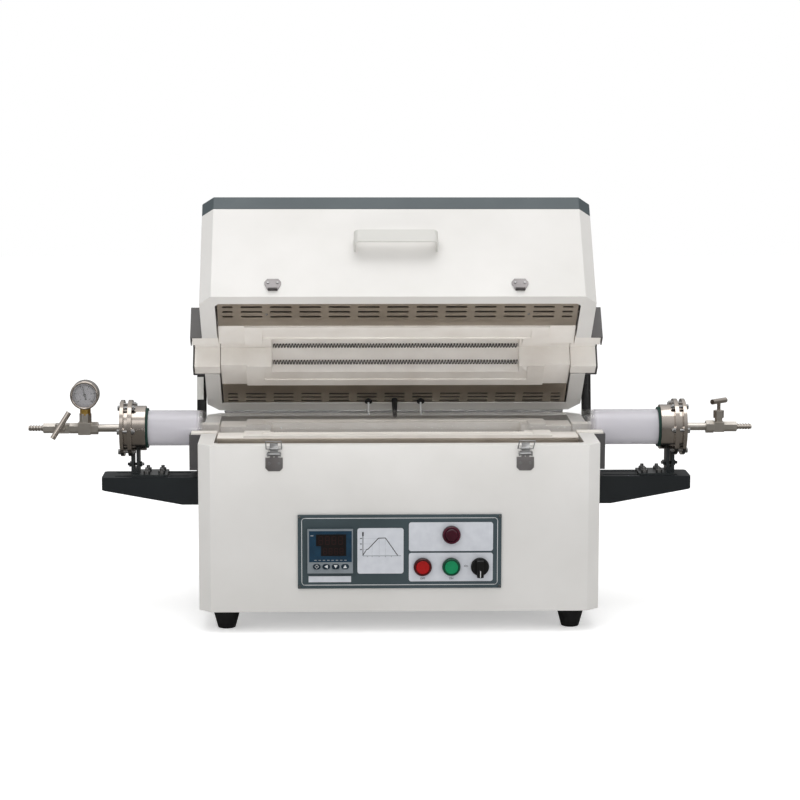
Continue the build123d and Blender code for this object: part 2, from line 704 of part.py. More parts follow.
def flange_brackets():
    """Foot plates on the arms, with forked posts up to the flanges, and their screws."""
    pieces = []
    plate_top = ARM_TOP + FOOT_THICK
    screw_z = plate_top + CLAMP_HEIGHT
    for side in SIDES:
        post_x = TUBE_X + side * POST_DISTANCE
        left = post_x - POST_HALF
        right = post_x + POST_HALF
        pieces.append(foot_bracket(side))
        screw = rod_x(left - 7, right + 7, TUBE_Y, screw_z, CLAMP_RADIUS)
        screw += hexagon_x(right, right + 3.5, TUBE_Y, screw_z, 8)
        screw += box(left - 4, left - 0.3, TUBE_Y - 10, TUBE_Y + 10, screw_z - 3, screw_z + 3)
        pieces.append(screw)
        for x, y in foot_bolt_places(side):
            bolt = rod_z(ARM_TOP - 8, plate_top + 9, x, y, FOOT_BOLT_RADIUS)
            bolt += hexagon_z(plate_top, plate_top + 5, x, y, 10)
            pieces.append(bolt)
    return pieces


def quartz_tube():
    half = TUBE_LENGTH / 2
    outer = rod_x(TUBE_X - half, TUBE_X + half, TUBE_Y, TUBE_Z, TUBE_RADIUS)
    return outer - rod_x(TUBE_X - half - 1, TUBE_X + half + 1, TUBE_Y, TUBE_Z, TUBE_RADIUS - TUBE_WALL)


def along(side, near, far):
    """The X range between two distances from the middle of the tube, on one side."""
    return sorted((TUBE_X + side * near, TUBE_X + side * far))


def disc(side, near, far, radius):
    x0, x1 = along(side, near, far)
    return rod_x(x0, x1, TUBE_Y, TUBE_Z, radius)


def bolt_places():
    return [
        (TUBE_Y + BOLT_CIRCLE * cos(radians(60 * i)), TUBE_Z + BOLT_CIRCLE * sin(radians(60 * i)))
        for i in range(BOLT_COUNT)
    ]


def drill_bolts(body, side):
    for y, z in bolt_places():
        x0, x1 = along(side, FLANGE_RING - 1, CAP_END + 1)
        body -= rod_x(x0, x1, y, z, 2.8)
    return body


def tube_flanges():
    flanges = []
    for side in SIDES:
        flange = disc(side, FLANGE_START, FLANGE_RING + 1, FLANGE_RADIUS)
        flange += disc(side, FLANGE_RING, FLANGE_SPLIT, RING_RADIUS)
        flange -= disc(side, FLANGE_START - CUT, FLANGE_SPLIT + CUT, TUBE_RADIUS + 0.5)
        flange -= disc(side, FLANGE_START - CUT, SEAL_END, SEAL_RADIUS)
        flanges.append(drill_bolts(flange, side))
    return flanges


def flange_caps():
    caps = []
    for side in SIDES:
        cap = disc(side, CAP_START, CAP_END, RING_RADIUS)
        cap += disc(side, FLANGE_SPLIT, CAP_START + CUT, FLANGE_RADIUS)
        cap -= disc(side, FLANGE_SPLIT - CUT, CAP_END + CUT, PIPE_BORE)
        caps.append(drill_bolts(cap, side))
    return caps


def flange_seals():
    return [
        disc(side, SEAL_START, SEAL_END, SEAL_RADIUS)
        - disc(side, SEAL_START - CUT, SEAL_END + CUT, TUBE_RADIUS)
        for side in SIDES
    ]


def flange_bolts():
    bolts = []
    for side in SIDES:
        for y, z in bolt_places():
            x0, x1 = along(side, FLANGE_RING - 6, CAP_END + 4)
            bolt = rod_x(x0, x1, y, z, 2.5)
            n0, n1 = along(side, CAP_END, CAP_END + 4)
            h0, h1 = along(side, FLANGE_RING - 4, FLANGE_RING)
            bolts.append(bolt + hexagon_x(n0, n1, y, z, 8) + hexagon_x(h0, h1, y, z, 8))
    return bolts


# ---- gas fittings -------------------------------------------------------------------------
def fitting_run(side, runs):
    """Bodies one after another along the tube axis: (near, far, kind, size)."""
    pieces = []
    for near, far, kind, size in runs:
        x0, x1 = along(side, near, far)
        if kind == "round":
            piece = rod_x(x0, x1, TUBE_Y, TUBE_Z, size)
        elif kind == "hex":
            piece = hexagon_x(x0, x1, TUBE_Y, TUBE_Z, size)
        else:
            half = size / 2
            piece = box(x0, x1, TUBE_Y - half, TUBE_Y + half, TUBE_Z - half, TUBE_Z + half)
        pieces.append(piece)
    return pieces


def lifted(shape):
    """Turn something that points to the front upwards about the tube's axis."""
    return shape.rotate(Axis((0, TUBE_Y, TUBE_Z), (-1, 0, 0)), INLET_VALVE_LIFT)


def inlet_fittings():
    runs = [(CAP_END, 518.5, "round", PIPE_RADIUS), (518.5, 531, "hex", 19)]
    runs += [(531, 552, "square", 21), (552, 567, "hex", 16), (567, 591, "square", 16)]
    runs += [(591, 611.5, "hex", 15), (611.5, 636.5, "round", HOSE_RADIUS)]
    pieces = fitting_run(-1, runs)
    x = INLET_VALVE_X
    bonnet = rod_y(TUBE_Y - INLET_BONNET, TUBE_Y - 6, x, TUBE_Z, 7.0)
    bore = SPINDLE_RADIUS + PIN_GAP
    bonnet -= rod_y(TUBE_Y - INLET_BONNET - CUT, TUBE_Y - SPINDLE_SEAT, x, TUBE_Z, bore)
    pieces.append(lifted(bonnet))
    pieces.append(hexagon_z(TUBE_Z + 10.5, TUBE_Z + 25.5, GAUGE_X, TUBE_Y, 18))
    return pieces


def outlet_fittings():
    runs = [(CAP_END, 517, "round", PIPE_RADIUS), (517, 530.7, "hex", 19), (530.7, 547.7, "square", 17)]
    runs += [(547.7, 570, "hex", 15), (570, 595.6, "round", HOSE_RADIUS)]
    pieces = fitting_run(1, runs)
    x = OUTLET_VALVE_X
    bonnet = rod_z(TUBE_Z + 7.5, TUBE_Z + 15, x, TUBE_Y, 6.5)
    bonnet += hexagon_z(TUBE_Z + 15, TUBE_Z + OUTLET_BONNET, x, TUBE_Y, 16.0)
    bore = SPINDLE_RADIUS + PIN_GAP
    bonnet -= rod_z(TUBE_Z + SPINDLE_SEAT, TUBE_Z + OUTLET_BONNET + CUT, x, TUBE_Y, bore)
    pieces.append(bonnet)
    return pieces


def gauge_nut():
    nut = hexagon_z(TUBE_Z + 25.5, TUBE_Z + 39, GAUGE_X, TUBE_Y, 16)
    return nut - rod_y(TUBE_Y - 30, TUBE_Y + 30, GAUGE_X, GAUGE_Z, GAUGE_RADIUS)


def gauge_case():
    case = rod_y(GAUGE_FRONT, GAUGE_BACK, GAUGE_X, GAUGE_Z, GAUGE_RADIUS)
    case -= rod_y(GAUGE_FRONT - 1, GAUGE_FRONT + 8, GAUGE_X, GAUGE_Z, GAUGE_RADIUS - 3)
    return case - rod_y(GAUGE_FRONT + 7, GAUGE_FRONT + 12, GAUGE_X, GAUGE_Z, 1.0 + PIN_GAP)


def gauge_dial():
    dial = rod_y(GAUGE_FRONT + 7, GAUGE_FRONT + 8, GAUGE_X, GAUGE_Z, GAUGE_RADIUS - 3)
    return dial - rod_y(GAUGE_FRONT + 6, GAUGE_FRONT + 9, GAUGE_X, GAUGE_Z, 1.5)


def gauge_lens():
    return rod_y(GAUGE_FRONT + 1, GAUGE_FRONT + 3, GAUGE_X, GAUGE_Z, GAUGE_RADIUS - 3)


def gauge_needle():
    y0 = GAUGE_FRONT + 4.6
    needle = box(GAUGE_X - 0.6, GAUGE_X + 0.6, y0, y0 + 0.8, GAUGE_Z, GAUGE_Z + 15)
    needle += box(GAUGE_X - 1.3, GAUGE_X + 1.3, y0, y0 + 0.8, GAUGE_Z - 9, GAUGE_Z)
    needle += rod_y(y0 - 0.4, y0 + 0.8, GAUGE_X, GAUGE_Z, 2.6)
    needle += rod_y(y0, GAUGE_FRONT + 11, GAUGE_X, GAUGE_Z, 1.0)
    return needle.rotate(Axis((GAUGE_X, 0, GAUGE_Z), (0, -1, 0)), NEEDLE_TILT)


def inlet_valve_handle():
    """Needle valve spindle towards the front, with its crossbar."""
    x = INLET_VALVE_X
    spindle = rod_y(INLET_BAR_Y, TUBE_Y - SPINDLE_SEAT - 0.5, x, TUBE_Z, SPINDLE_RADIUS)
    half = INLET_BAR_HALF
    crossbar = rod_x(x - half, x + half, INLET_BAR_Y, TUBE_Z, BAR_RADIUS)
    crossbar = crossbar.rotate(Axis((x, 0, TUBE_Z), (0, -1, 0)), INLET_BAR_TILT)
    return lifted(spindle + crossbar)


def outlet_valve_handle():
    x = OUTLET_VALVE_X
    spindle = rod_z(TUBE_Z + SPINDLE_SEAT + 0.5, OUTLET_BAR_Z, x, TUBE_Y, SPINDLE_RADIUS)
    half = OUTLET_BAR_HALF
    crossbar = rod_x(x - half, x + half, TUBE_Y, OUTLET_BAR_Z, BAR_RADIUS)
    crossbar = crossbar.rotate(Axis((x, TUBE_Y, 0), (0, 0, 1)), OUTLET_BAR_TURN)
    return spindle + crossbar


# ---- hinges, gas struts and things inside ------------------------------------------------
def opened(shape):
    """Turn a closed-lid shape to the open rest position."""
    return shape.rotate(Axis((0, HINGE_Y, SPLIT_Z), (-1, 0, 0)), LID_OPEN_DEG)


def opened_pivot():
    """Where the struts' upper pivot is with the lid open."""
    turn = radians(LID_OPEN_DEG)
    y = STRUT_LID_PIVOT[0] - HINGE_Y
    z = STRUT_LID_PIVOT[1] - SPLIT_Z
    return HINGE_Y + y * cos(turn) + z * sin(turn), SPLIT_Z - y * sin(turn) + z * cos(turn)


def hinge_leaf(x0, x1, side, bore):
    """Leaf on the back wall with one long knuckle."""
    low, high = sorted((SPLIT_Z + side * HINGE_LEAF_NEAR, SPLIT_Z + side * HINGE_LEAF_FAR))
    leaf = box(x0, x1, DEPTH, DEPTH + HINGE_LEAF, low, high)
    leaf += rod_x(x0, x1, HINGE_Y, SPLIT_Z, KNUCKLE_RADIUS)
    low, high = sorted((SPLIT_Z + side * 2, SPLIT_Z + side * (HINGE_LEAF_NEAR + 2)))
    leaf += box(x0, x1, DEPTH + CUT, HINGE_Y, low, high)
    return leaf - rod_x(x0 - CUT, x1 + CUT, HINGE_Y, SPLIT_Z, bore)


def base_pivots():
    """Base leaves with the hinge pin, and the lower strut studs."""
    pieces = [hinge_leaf(-HINGE_HALF, -HINGE_THIRD, -1, HINGE_PIN)]
    pieces.append(hinge_leaf(HINGE_THIRD, HINGE_HALF, -1, HINGE_PIN))
    pieces.append(rod_x(-HINGE_HALF - CUT, HINGE_HALF + CUT, HINGE_Y, SPLIT_Z, HINGE_PIN))
    return pieces + strut_studs(STRUT_BASE_PIVOT)


def strut_studs(pivot):
    y, z = pivot
    studs = []
    for side in SIDES:
        x0, x1 = sorted((side * WIDTH / 2, side * (WIDTH / 2 + SHEET)))
        plate = rod_x(x0, x1, y, z, 11.0)
        s0, s1 = sorted((side * (WIDTH / 2 + 1), side * (STRUT_X + 9)))
        h0, h1 = sorted((side * (STRUT_X + 7), side * (STRUT_X + 9)))
        studs.append(plate + rod_x(s0, s1, y, z, 3.5) + rod_x(h0, h1, y, z, 5.5))
    return studs


def lid_pivots():
    half = HINGE_THIRD - 0.5
    pieces = [hinge_leaf(-half, half, 1, HINGE_PIN + PIN_GAP)]
    pieces += strut_studs(STRUT_LID_PIVOT)
    return [opened(piece) for piece in pieces]


def strut_eye(x, pivot):
    y, z = pivot
    return rod_x(x - 6, x + 6, y, z, 7.5)


def strut_point(x, start, end, distance):
    """Point on the line from one pivot to the other."""
    dy = end[0] - start[0]
    dz = end[1] - start[1]
    share = distance / sqrt(dy**2 + dz**2)
    return x, start[0] + dy * share, start[1] + dz * share


def strut_rod(side):
    x = side * STRUT_X
    top = opened_pivot()
    base = STRUT_BASE_PIVOT
    stem = rod(strut_point(x, base, top, 6), strut_point(x, base, top, STRUT_ROD_LENGTH), 4.0)
    return strut_eye(x, base) + stem - strut_bore(x, base)


def strut_bore(x, pivot):
    return rod_x(x - 7, x + 7, pivot[0], pivot[1], 3.5 + PIN_GAP)


def strut_cylinder(side):
    x = side * STRUT_X
    top = opened_pivot()
    base = STRUT_BASE_PIVOT
    end = strut_point(x, top, base, STRUT_CYLINDER_LENGTH)
    beyond = strut_point(x, top, base, STRUT_CYLINDER_LENGTH + CUT)
    barrel = rod(strut_point(x, top, base, 15), end, STRUT_BARREL)
    barrel += rod(strut_point(x, top, base, 4), strut_point(x, top, base, 16), 5.0)
    barrel -= rod(strut_point(x, top, base, 22), beyond, 4.5)
    return barrel + strut_eye(x, top) - strut_bore(x, top)


def thermocouple():
    """Control thermocouple: sheath through the back of the lower block, and its head."""
    z = SPLIT_Z - 60.0
    sheath = rod_y(BLOCK_BACK + SHEET, 320, 0, z, 3.0)
    return sheath + rod_y(300, 318, 0, z, 9.0)


def power_electronics():
    """Solid-state relay on its heat sink, and the terminal block, on the cabinet floor."""
    floor = FOOT_HEIGHT + SHEET
    sink = box(-290, -230, 120, 220, floor, floor + 30)
    relay = box(-282, -238, 140, 200, floor + 30, floor + 54)
    terminals = box(230, 290, 250, 280, floor, floor + 24)
    return [sink, relay, terminals]


def cooling_fan_frame():
    half = FAN_HALF
    frame = box(FAN_X - half, FAN_X + half, DEPTH - 27, DEPTH - SHEET, FAN_Z - half, FAN_Z + half)
    frame -= rod_y(DEPTH - 40, DEPTH, FAN_X, FAN_Z, FAN_HALF - 2)
    hub = rod_y(DEPTH - SHEET - 25, DEPTH - SHEET - 21, FAN_X, FAN_Z, 15)
    for angle in (0, 90):
        strut = box(FAN_X - half + 1, FAN_X + half - 1, DEPTH - 27, DEPTH - 24, FAN_Z - 2, FAN_Z + 2)
        hub += strut.rotate(Axis((FAN_X, 0, FAN_Z), (0, 1, 0)), angle)
    frame += hub
    return frame - rod_y(DEPTH - 28, DEPTH - 10, FAN_X, FAN_Z, 2.0 + PIN_GAP)


def cooling_fan_rotor():
    rotor = rod_y(DEPTH - 22, DEPTH - 6, FAN_X, FAN_Z, 16)
    blade = box(FAN_X + 14, FAN_X + FAN_HALF - 4, DEPTH - 20, DEPTH - 8, FAN_Z - 0.8, FAN_Z + 0.8)
    blade = blade.rotate(Axis((FAN_X, DEPTH - 14, FAN_Z), (1, 0, 0)), 35)
    for i in range(7):
        rotor += blade.rotate(Axis((FAN_X, 0, FAN_Z), (0, 1, 0)), i * 360 / 7)
    return rotor + rod_y(DEPTH - 26.5, DEPTH - 20, FAN_X, FAN_Z, 2.0)


def cable_gland():
    body = rod_y(DEPTH - 12, DEPTH + 12, GLAND_X, GLAND_Z, GLAND_THREAD)
    body += rod_y(DEPTH, DEPTH + 7, GLAND_X, GLAND_Z, 14)
    return body - rod_y(DEPTH - 13, DEPTH + 13, GLAND_X, GLAND_Z, 4.5)


# ---- lid ----------------------------------------------------------------------------------
def lid_shell():
    top = SPLIT_Z + LID_WALL_HEIGHT
    shell = plan_block(0, RIM_Z + LID_GAP, top)
    shell -= plan_block(SHEET, RIM_Z + LID_GAP + SHEET, top + CUT)
    shell -= chamber_opening(RIM_Z - CUT, RIM_Z + LID_GAP + SHEET + CUT)
    shell -= saddle_slots(RIM_Z - CUT, LID_COVER_TOP - SHEET - CUT)
    return shell


def lid_cap():
    base = SPLIT_Z + LID_WALL_HEIGHT
    top = base + CAP_HEIGHT
    cap = plan_block(0, base, top)
    cap = chamfer(cap.faces().sort_by(Axis.Z)[-1].edges(), 1.5)
    return cap - plan_block(SHEET, base - 1, top - SHEET)


def lid_blanket():
    """Wool packed between the fibre block and the top of the lid."""
    low = SPLIT_Z + BLOCK_HEIGHT + 6
    high = SPLIT_Z + LID_WALL_HEIGHT + CAP_HEIGHT - SHEET
    half = WIDTH / 2 - 8
    return box(-half, half, 26, DEPTH - 26, low, high)


def lid_handle():
    """Flat strap bent to a long D."""
    low = SPLIT_Z + 89.5
    high = SPLIT_Z + 114.5
    half = HANDLE_HALF
    strap = box(CATCH_SHIFT - half, CATCH_SHIFT + half, -HANDLE_REACH, 0, low, high)
    corners = strap.edges().filter_by(Axis.Z).sort_by(Axis.Y)[:2]
    strap = fillet(corners, 3 * HANDLE_STRAP)
    half -= HANDLE_STRAP
    reach = HANDLE_REACH - HANDLE_STRAP
    hole = box(CATCH_SHIFT - half, CATCH_SHIFT + half, -reach, CUT, low - CUT, high + CUT)
    corners = hole.edges().filter_by(Axis.Z).sort_by(Axis.Y)[:2]
    return strap - fillet(corners, 2 * HANDLE_STRAP)


def lid_part(shape):
    return [opened(solid) for solid in solid_list(shape)]


# ---- write --------------------------------------------------------------------------------
def all_parts():
    parts = {
        "cabinet_shell": cabinet_shell(),
        "cabinet_panels": [cabinet_floor(), back_panel()],
        "rubber_feet": rubber_feet(),
        "base_liner": liner(-1),
        "lower_insulation": fibre_parts(-1),
        "lower_heating_coils": coil_rods(-1, COIL_RADIUS, CHAMBER_HALF_LENGTH),
        "base_covers": side_covers(-1),
        "control_panel": control_panel(),
        "panel_plates": panel_plates(),
        "controller_case": controller_case(),
        "controller_screen": controller_screen(),
        "button_bezels": button_bezels(),
        "alarm_lamp": alarm_lamp(),
        "stop_button": push_button(STOP_X),
        "start_button": push_button(START_X),
        "selector_knob": selector_knob(),
        "latch_plates": latch_plates(),
        "latch_lever_left": latch_lever(-LATCH_X),
        "latch_lever_right": latch_lever(LATCH_X),
        "latch_bail_left": latch_bail(-LATCH_X),
        "latch_bail_right": latch_bail(LATCH_X),
        "shelf_arms": shelf_arms(),
        "flange_brackets": flange_brackets(),
        "quartz_tube": quartz_tube(),
        "tube_flanges": tube_flanges() + flange_caps(),
        "flange_seals": flange_seals(),
        "flange_bolts": flange_bolts(),
        "inlet_fittings": inlet_fittings(),
        "outlet_fittings": outlet_fittings(),
        "gauge_nut": gauge_nut(),
        "gauge_case": gauge_case(),
        "gauge_dial": gauge_dial(),
        "gauge_lens": gauge_lens(),
        "gauge_needle": gauge_needle(),
        "inlet_valve_handle": inlet_valve_handle(),
        "outlet_valve_handle": outlet_valve_handle(),
        "base_pivots": base_pivots(),
        "strut_rod_left": strut_rod(-1),
        "strut_rod_right": strut_rod(1),
        "strut_cylinder_left": strut_cylinder(-1),
        "strut_cylinder_right": strut_cylinder(1),
        "thermocouple": thermocouple(),
        "power_electronics": power_electronics(),
        "cooling_fan_frame": cooling_fan_frame(),
        "cooling_fan_rotor": cooling_fan_rotor(),
        "cable_gland": cable_gland(),
        "lid_shell": lid_part(lid_shell()),
        "lid_cap": lid_part(lid_cap()),
        "lid_insulation": lid_part(fibre_parts(1) + [lid_blanket()]),
        "upper_heating_coils": lid_part(coil_rods(1, COIL_RADIUS, CHAMBER_HALF_LENGTH)),
        "lid_liner": lid_part(liner(1)),
        "lid_covers": lid_part(side_covers(1)),
        "lid_handle": lid_part(lid_handle()),
        "lid_catches": lid_part(lid_catches()),
        "lid_pivots": lid_pivots(),
    }
    for number, x in enumerate(KEY_XS, start=1):
        parts[f"controller_key_{number}"] = controller_key(x)
    return parts


def origin_shift(parts):
    """Move that puts the origin under the middle of everything."""
    boxes = [solid.bounding_box() for solids in parts.values() for solid in solids]
    x = (min(b.min.X for b in boxes) + max(b.max.X for b in boxes)) / 2
    y = (min(b.min.Y for b in boxes) + max(b.max.Y for b in boxes)) / 2
    z = min(b.min.Z for b in boxes)
    print("moved by", -x, -y, -z)
    return Pos(-x, -y, -z)


def main():
    os.makedirs("parts", exist_ok=True)
    parts = {name: solid_list(shape) for name, shape in all_parts().items()}
    shift = origin_shift(parts)
    for name, solids in parts.items():
        moved = [shift * solid for solid in solids]
        shape = moved[0] if len(moved) == 1 else Compound(moved)
        export_step(shape, f"parts/{name}.step")


main()
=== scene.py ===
"""Looks of the split tube furnace: powder-coated cabinet and lid, ceramic-fibre chamber with
wound heating spirals, quartz work tube with polished flanges and fittings, and the control panel.
Lengths are in millimetres inside mm() and in metres everywhere else."""

import json
from math import cos, pi, radians, sin

import bmesh
import bpy
from mathutils import Matrix, Vector

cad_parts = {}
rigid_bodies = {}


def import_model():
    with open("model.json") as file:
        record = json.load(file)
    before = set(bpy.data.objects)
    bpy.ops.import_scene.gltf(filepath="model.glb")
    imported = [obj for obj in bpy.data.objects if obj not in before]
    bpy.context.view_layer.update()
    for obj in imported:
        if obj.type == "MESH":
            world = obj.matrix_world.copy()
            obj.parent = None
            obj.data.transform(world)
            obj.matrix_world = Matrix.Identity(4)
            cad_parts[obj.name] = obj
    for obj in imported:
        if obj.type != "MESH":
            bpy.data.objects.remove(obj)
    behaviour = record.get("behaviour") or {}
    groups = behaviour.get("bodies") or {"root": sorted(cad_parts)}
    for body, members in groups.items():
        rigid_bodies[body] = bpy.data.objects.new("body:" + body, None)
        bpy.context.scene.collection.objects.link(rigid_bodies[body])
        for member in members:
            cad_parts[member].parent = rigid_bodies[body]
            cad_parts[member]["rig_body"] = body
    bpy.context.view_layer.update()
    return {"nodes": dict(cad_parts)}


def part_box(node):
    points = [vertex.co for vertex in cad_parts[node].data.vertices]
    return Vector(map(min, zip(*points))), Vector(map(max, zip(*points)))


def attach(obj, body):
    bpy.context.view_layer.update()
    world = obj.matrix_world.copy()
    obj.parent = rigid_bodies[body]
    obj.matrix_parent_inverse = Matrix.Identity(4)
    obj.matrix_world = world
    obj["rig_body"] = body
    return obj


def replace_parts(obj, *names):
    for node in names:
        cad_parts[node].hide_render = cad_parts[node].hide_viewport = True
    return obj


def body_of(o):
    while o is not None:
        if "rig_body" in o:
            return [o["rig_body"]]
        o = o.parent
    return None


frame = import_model()

# ---- places, worked out from the frame ----------------------------------------------------
cabinet_low, cabinet_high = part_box("cabinet_shell")
tube_low, tube_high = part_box("quartz_tube")
MIDDLE_X = (cabinet_low.x + cabinet_high.x) / 2
FRONT_Y = cabinet_low.y
SPLIT_Z = cabinet_high.z + 0.003  # level of the hinge axis, a little over the rim
TUBE = (tube_low + tube_high) / 2
LID_OPEN = radians(41.0)
HINGE_SETBACK = 355.0  # from the cabinet's front face to the lid's hinge axis
CHAMBER_RADIUS = 50.0
CHAMBER_LENGTH = 424.0
SPIRAL_RADIUS = 4.3
SPIRAL_PITCH = 5.2
SPIRAL_WIRE = 0.75
COIL_ANGLES = (22, 56, 90, 124, 158)
CABINET_BOTTOM = -281.9
TUBE_SETBACK = 178.0  # from the cabinet's front face to the tube's middle
TUBE_DROP = -2.0
# painted reflection: outside the cabinet the quartz tube gets a pale part-opaque skin, standing in for
# the grey that refraction and reflections give the glass
PAINTED_GREY_START = 0.328
PAINTED_GREY_STOP = 0.34
PAINTED_GREY_SHIFT = 0.012  # the painted grey reaches further in at the outlet
LATCH_X = 205.0
CATCH_SHIFT = -3.0
PANEL_FACE = -3.0
PLATE_FACE = -4.0
BUTTON_FACE = -9.0
SCREEN_FACE = -9.25
WINDOW_FACE = -9.75
STOP_X = 37.7
START_X = 84.7
BUTTON_Z = -204.7
LAMP_Z = -151.2
GAUGE_X = -528.5
GAUGE_Z = 55.8
DIAL_FACE = 172.0
INLET_BARB_X = -601.0
OUTLET_BARB_X = 582.5
STRUT_X = -339.3


def mm(x, y, z):
    """Point from the cabinet's middle, its front face and the split, in millimetres."""
    return Vector((MIDDLE_X + x / 1000, FRONT_Y + y / 1000, SPLIT_Z + z / 1000))


def lid_turn():
    """Turns what is drawn on the closed lid to where the open lid is at rest."""
    hinge = Matrix.Translation(mm(0, HINGE_SETBACK, 0))
    return hinge @ Matrix.Rotation(-LID_OPEN, 4, "X") @ hinge.inverted()


# ---- nodes and colours --------------------------------------------------------------------
def colour(code):
    """sRGB hex to linear RGBA."""
    parts = [int(code[i : i + 2], 16) / 255 for i in (1, 3, 5)]
    linear = [c / 12.92 if c <= 0.04045 else ((c + 0.055) / 1.055) ** 2.4 for c in parts]
    return (*linear, 1.0)


def add(tree, kind, links=None, **settings):
    """Adds a node. A setting names a property or an input; links maps an input to an output."""
    node = tree.nodes.new(kind)
    for name, value in settings.items():
        if hasattr(node, name):
            setattr(node, name, value)
        else:
            node.inputs[name.replace("_", " ")].default_value = value
    for name, source in (links or {}).items():
        tree.links.new(source, node.inputs[name])
    return node


def finish_of(name, base, roughness, metallic=0.0, **shader):
    """Empty material with its Principled shader, and Object coordinates in metres."""
    material = bpy.data.materials.new(name)
    material.use_nodes = True
    tree = material.node_tree
    principled = tree.nodes["Principled BSDF"]
    principled.inputs["Base Color"].default_value = colour(base)
    principled.inputs["Roughness"].default_value = roughness
    principled.inputs["Metallic"].default_value = metallic
    for key, value in shader.items():
        principled.inputs[key.replace("_", " ")].default_value = value
    place = add(tree, "ShaderNodeTexCoord").outputs["Object"]
    return material, tree, principled, place


def grain(tree, place, size_mm, detail=4.0, stretch=(1, 1, 1)):
    """Noise whose features are about size_mm across."""
    scaled = add(tree, "ShaderNodeMapping", {"Vector": place}, Scale=stretch)
    links = {"Vector": scaled.outputs["Vector"]}
    return add(tree, "ShaderNodeTexNoise", links, Scale=1000 / size_mm, Detail=detail).outputs["Fac"]


def vary(tree, principled, amount, dark, light):
    """Colour that drifts between two tones."""
    ramp = add(tree, "ShaderNodeValToRGB", {"Fac": amount})
    ramp.color_ramp.elements[0].position = 0.3
    ramp.color_ramp.elements[1].position = 0.7
    ramp.color_ramp.elements[0].color = colour(dark)
    ramp.color_ramp.elements[1].color = colour(light)
    tree.links.new(ramp.outputs["Color"], principled.inputs["Base Color"])


def relief(tree, principled, height, depth_mm, strength):
    """Bumps as high as depth_mm."""
    links = {"Height": height}
    bump = add(tree, "ShaderNodeBump", links, Distance=depth_mm / 1000, Strength=strength)
    tree.links.new(bump.outputs["Normal"], principled.inputs["Normal"])


def gloss_range(tree, principled, amount, low, high):
    """Roughness that drifts between two values."""
    links = {"Value": amount}
    spread = add(tree, "ShaderNodeMapRange", links, To_Min=low, To_Max=high)
    tree.links.new(spread.outputs["Result"], principled.inputs["Roughness"])


def powder_coat(name, dark, light, roughness):
    """Baked polyester powder on steel: soft sheen with a fine orange-peel skin."""
    material, tree, principled, place = finish_of(name, light, roughness)
    vary(tree, principled, grain(tree, place, 180), dark, light)
    relief(tree, principled, grain(tree, place, 1.8, 2.0), 0.05, 0.35)
    gloss_range(tree, principled, grain(tree, place, 40), roughness - 0.06, roughness + 0.08)
    return material


def ceramic_fibre():
    """Vacuum-formed alumina-silica fibre: chalky white, softly pitted, faintly stained by heat."""
    material, tree, principled, place = finish_of("ceramic fibre", "#F4F1ED", 0.95)
    vary(tree, principled, grain(tree, place, 60, 5.0), "#EFE9E2", "#FBF7F1")
    relief(tree, principled, grain(tree, place, 2.5, 6.0), 0.3, 0.5)
    return material


def brushed_metal(name, dark, light, roughness, along=(0.05, 1, 1)):
    """Metal with fine lines along one axis left by the abrasive belt, drawn coarser to show."""
    material, tree, principled, place = finish_of(name, light, roughness, metallic=1.0)
    lines = grain(tree, place, 0.8, 3.0, along)
    vary(tree, principled, grain(tree, place, 60), dark, light)
    relief(tree, principled, lines, 0.03, 0.3)
    gloss_range(tree, principled, lines, roughness - 0.05, roughness + 0.1)
    return material


def moulded(name, dark, light, roughness):
    """Injection-moulded plastic with a light spark-eroded texture."""
    material, tree, principled, place = finish_of(name, light, roughness)
    vary(tree, principled, grain(tree, place, 25), dark, light)
    relief(tree, principled, grain(tree, place, 0.7, 2.0), 0.04, 0.4)
    return material


def rubber(name, dark, light):
    """Moulded rubber: almost matte, with a dusty bloom in patches."""
    material, tree, principled, place = finish_of(name, light, 0.75)
    vary(tree, principled, grain(tree, place, 12, 5.0), dark, light)
    gloss_range(tree, principled, grain(tree, place, 6), 0.6, 0.85)
    relief(tree, principled, grain(tree, place, 1.0), 0.08, 0.4)
    return material


def fused_quartz():
    """Drawn fused-silica tube: clear over the heated length, and at both ends a pale skin that paints
    the grey the glass takes from refraction and reflections.
    """
    shader = {"IOR": 1.46}
    material, tree, principled, place = finish_of("fused quartz", "#DADBE0", 0.06, **shader)
    relief(tree, principled, grain(tree, place, 30, 2.0, (0.2, 1, 1)), 0.05, 0.15)
    gloss_range(tree, principled, grain(tree, place, 20), 0.03, 0.1)
    along = add(tree, "ShaderNodeSeparateXYZ", {0: place}).outputs["X"]
    middle = add(tree, "ShaderNodeMath", {0: along}, operation="SUBTRACT")
    middle.inputs[1].default_value = TUBE.x - PAINTED_GREY_SHIFT
    away = add(tree, "ShaderNodeMath", {0: middle.outputs[0]}, operation="ABSOLUTE").outputs[0]
    links = {"Value": away}
    # painted reflection: the glass turns from clear to a pale part-opaque skin where the tube leaves
    # the cabinet
    painted_grey = add(tree, "ShaderNodeMapRange", links, From_Min=PAINTED_GREY_START, From_Max=PAINTED_GREY_STOP)
    links = {"Value": painted_grey.outputs[0]}
    clear = add(tree, "ShaderNodeMapRange", links, To_Min=0.97, To_Max=0.35)
    tree.links.new(clear.outputs[0], principled.inputs["Transmission Weight"])
    skin = add(tree, "ShaderNodeMapRange", links, To_Min=0.05, To_Max=0.85)
    tree.links.new(skin.outputs[0], principled.inputs["Alpha"])
    ramp = add(tree, "ShaderNodeValToRGB", {"Fac": painted_grey.outputs[0]})
    ramp.color_ramp.elements[0].color = colour("#FBFBFC")
    ramp.color_ramp.elements[1].color = colour("#F0EEF4")
    tree.links.new(ramp.outputs["Color"], principled.inputs["Base Color"])
    return material


def clear_window():
    """Thin mineral glass over the gauge dial, drawn as a faint film with a clear reflection."""
    shader = {"Alpha": 0.1, "IOR": 1.5}
    material, tree, principled, place = finish_of("gauge glass", "#FFFFFF", 0.02, **shader)
    gloss_range(tree, principled, grain(tree, place, 10), 0.01, 0.05)
    return material


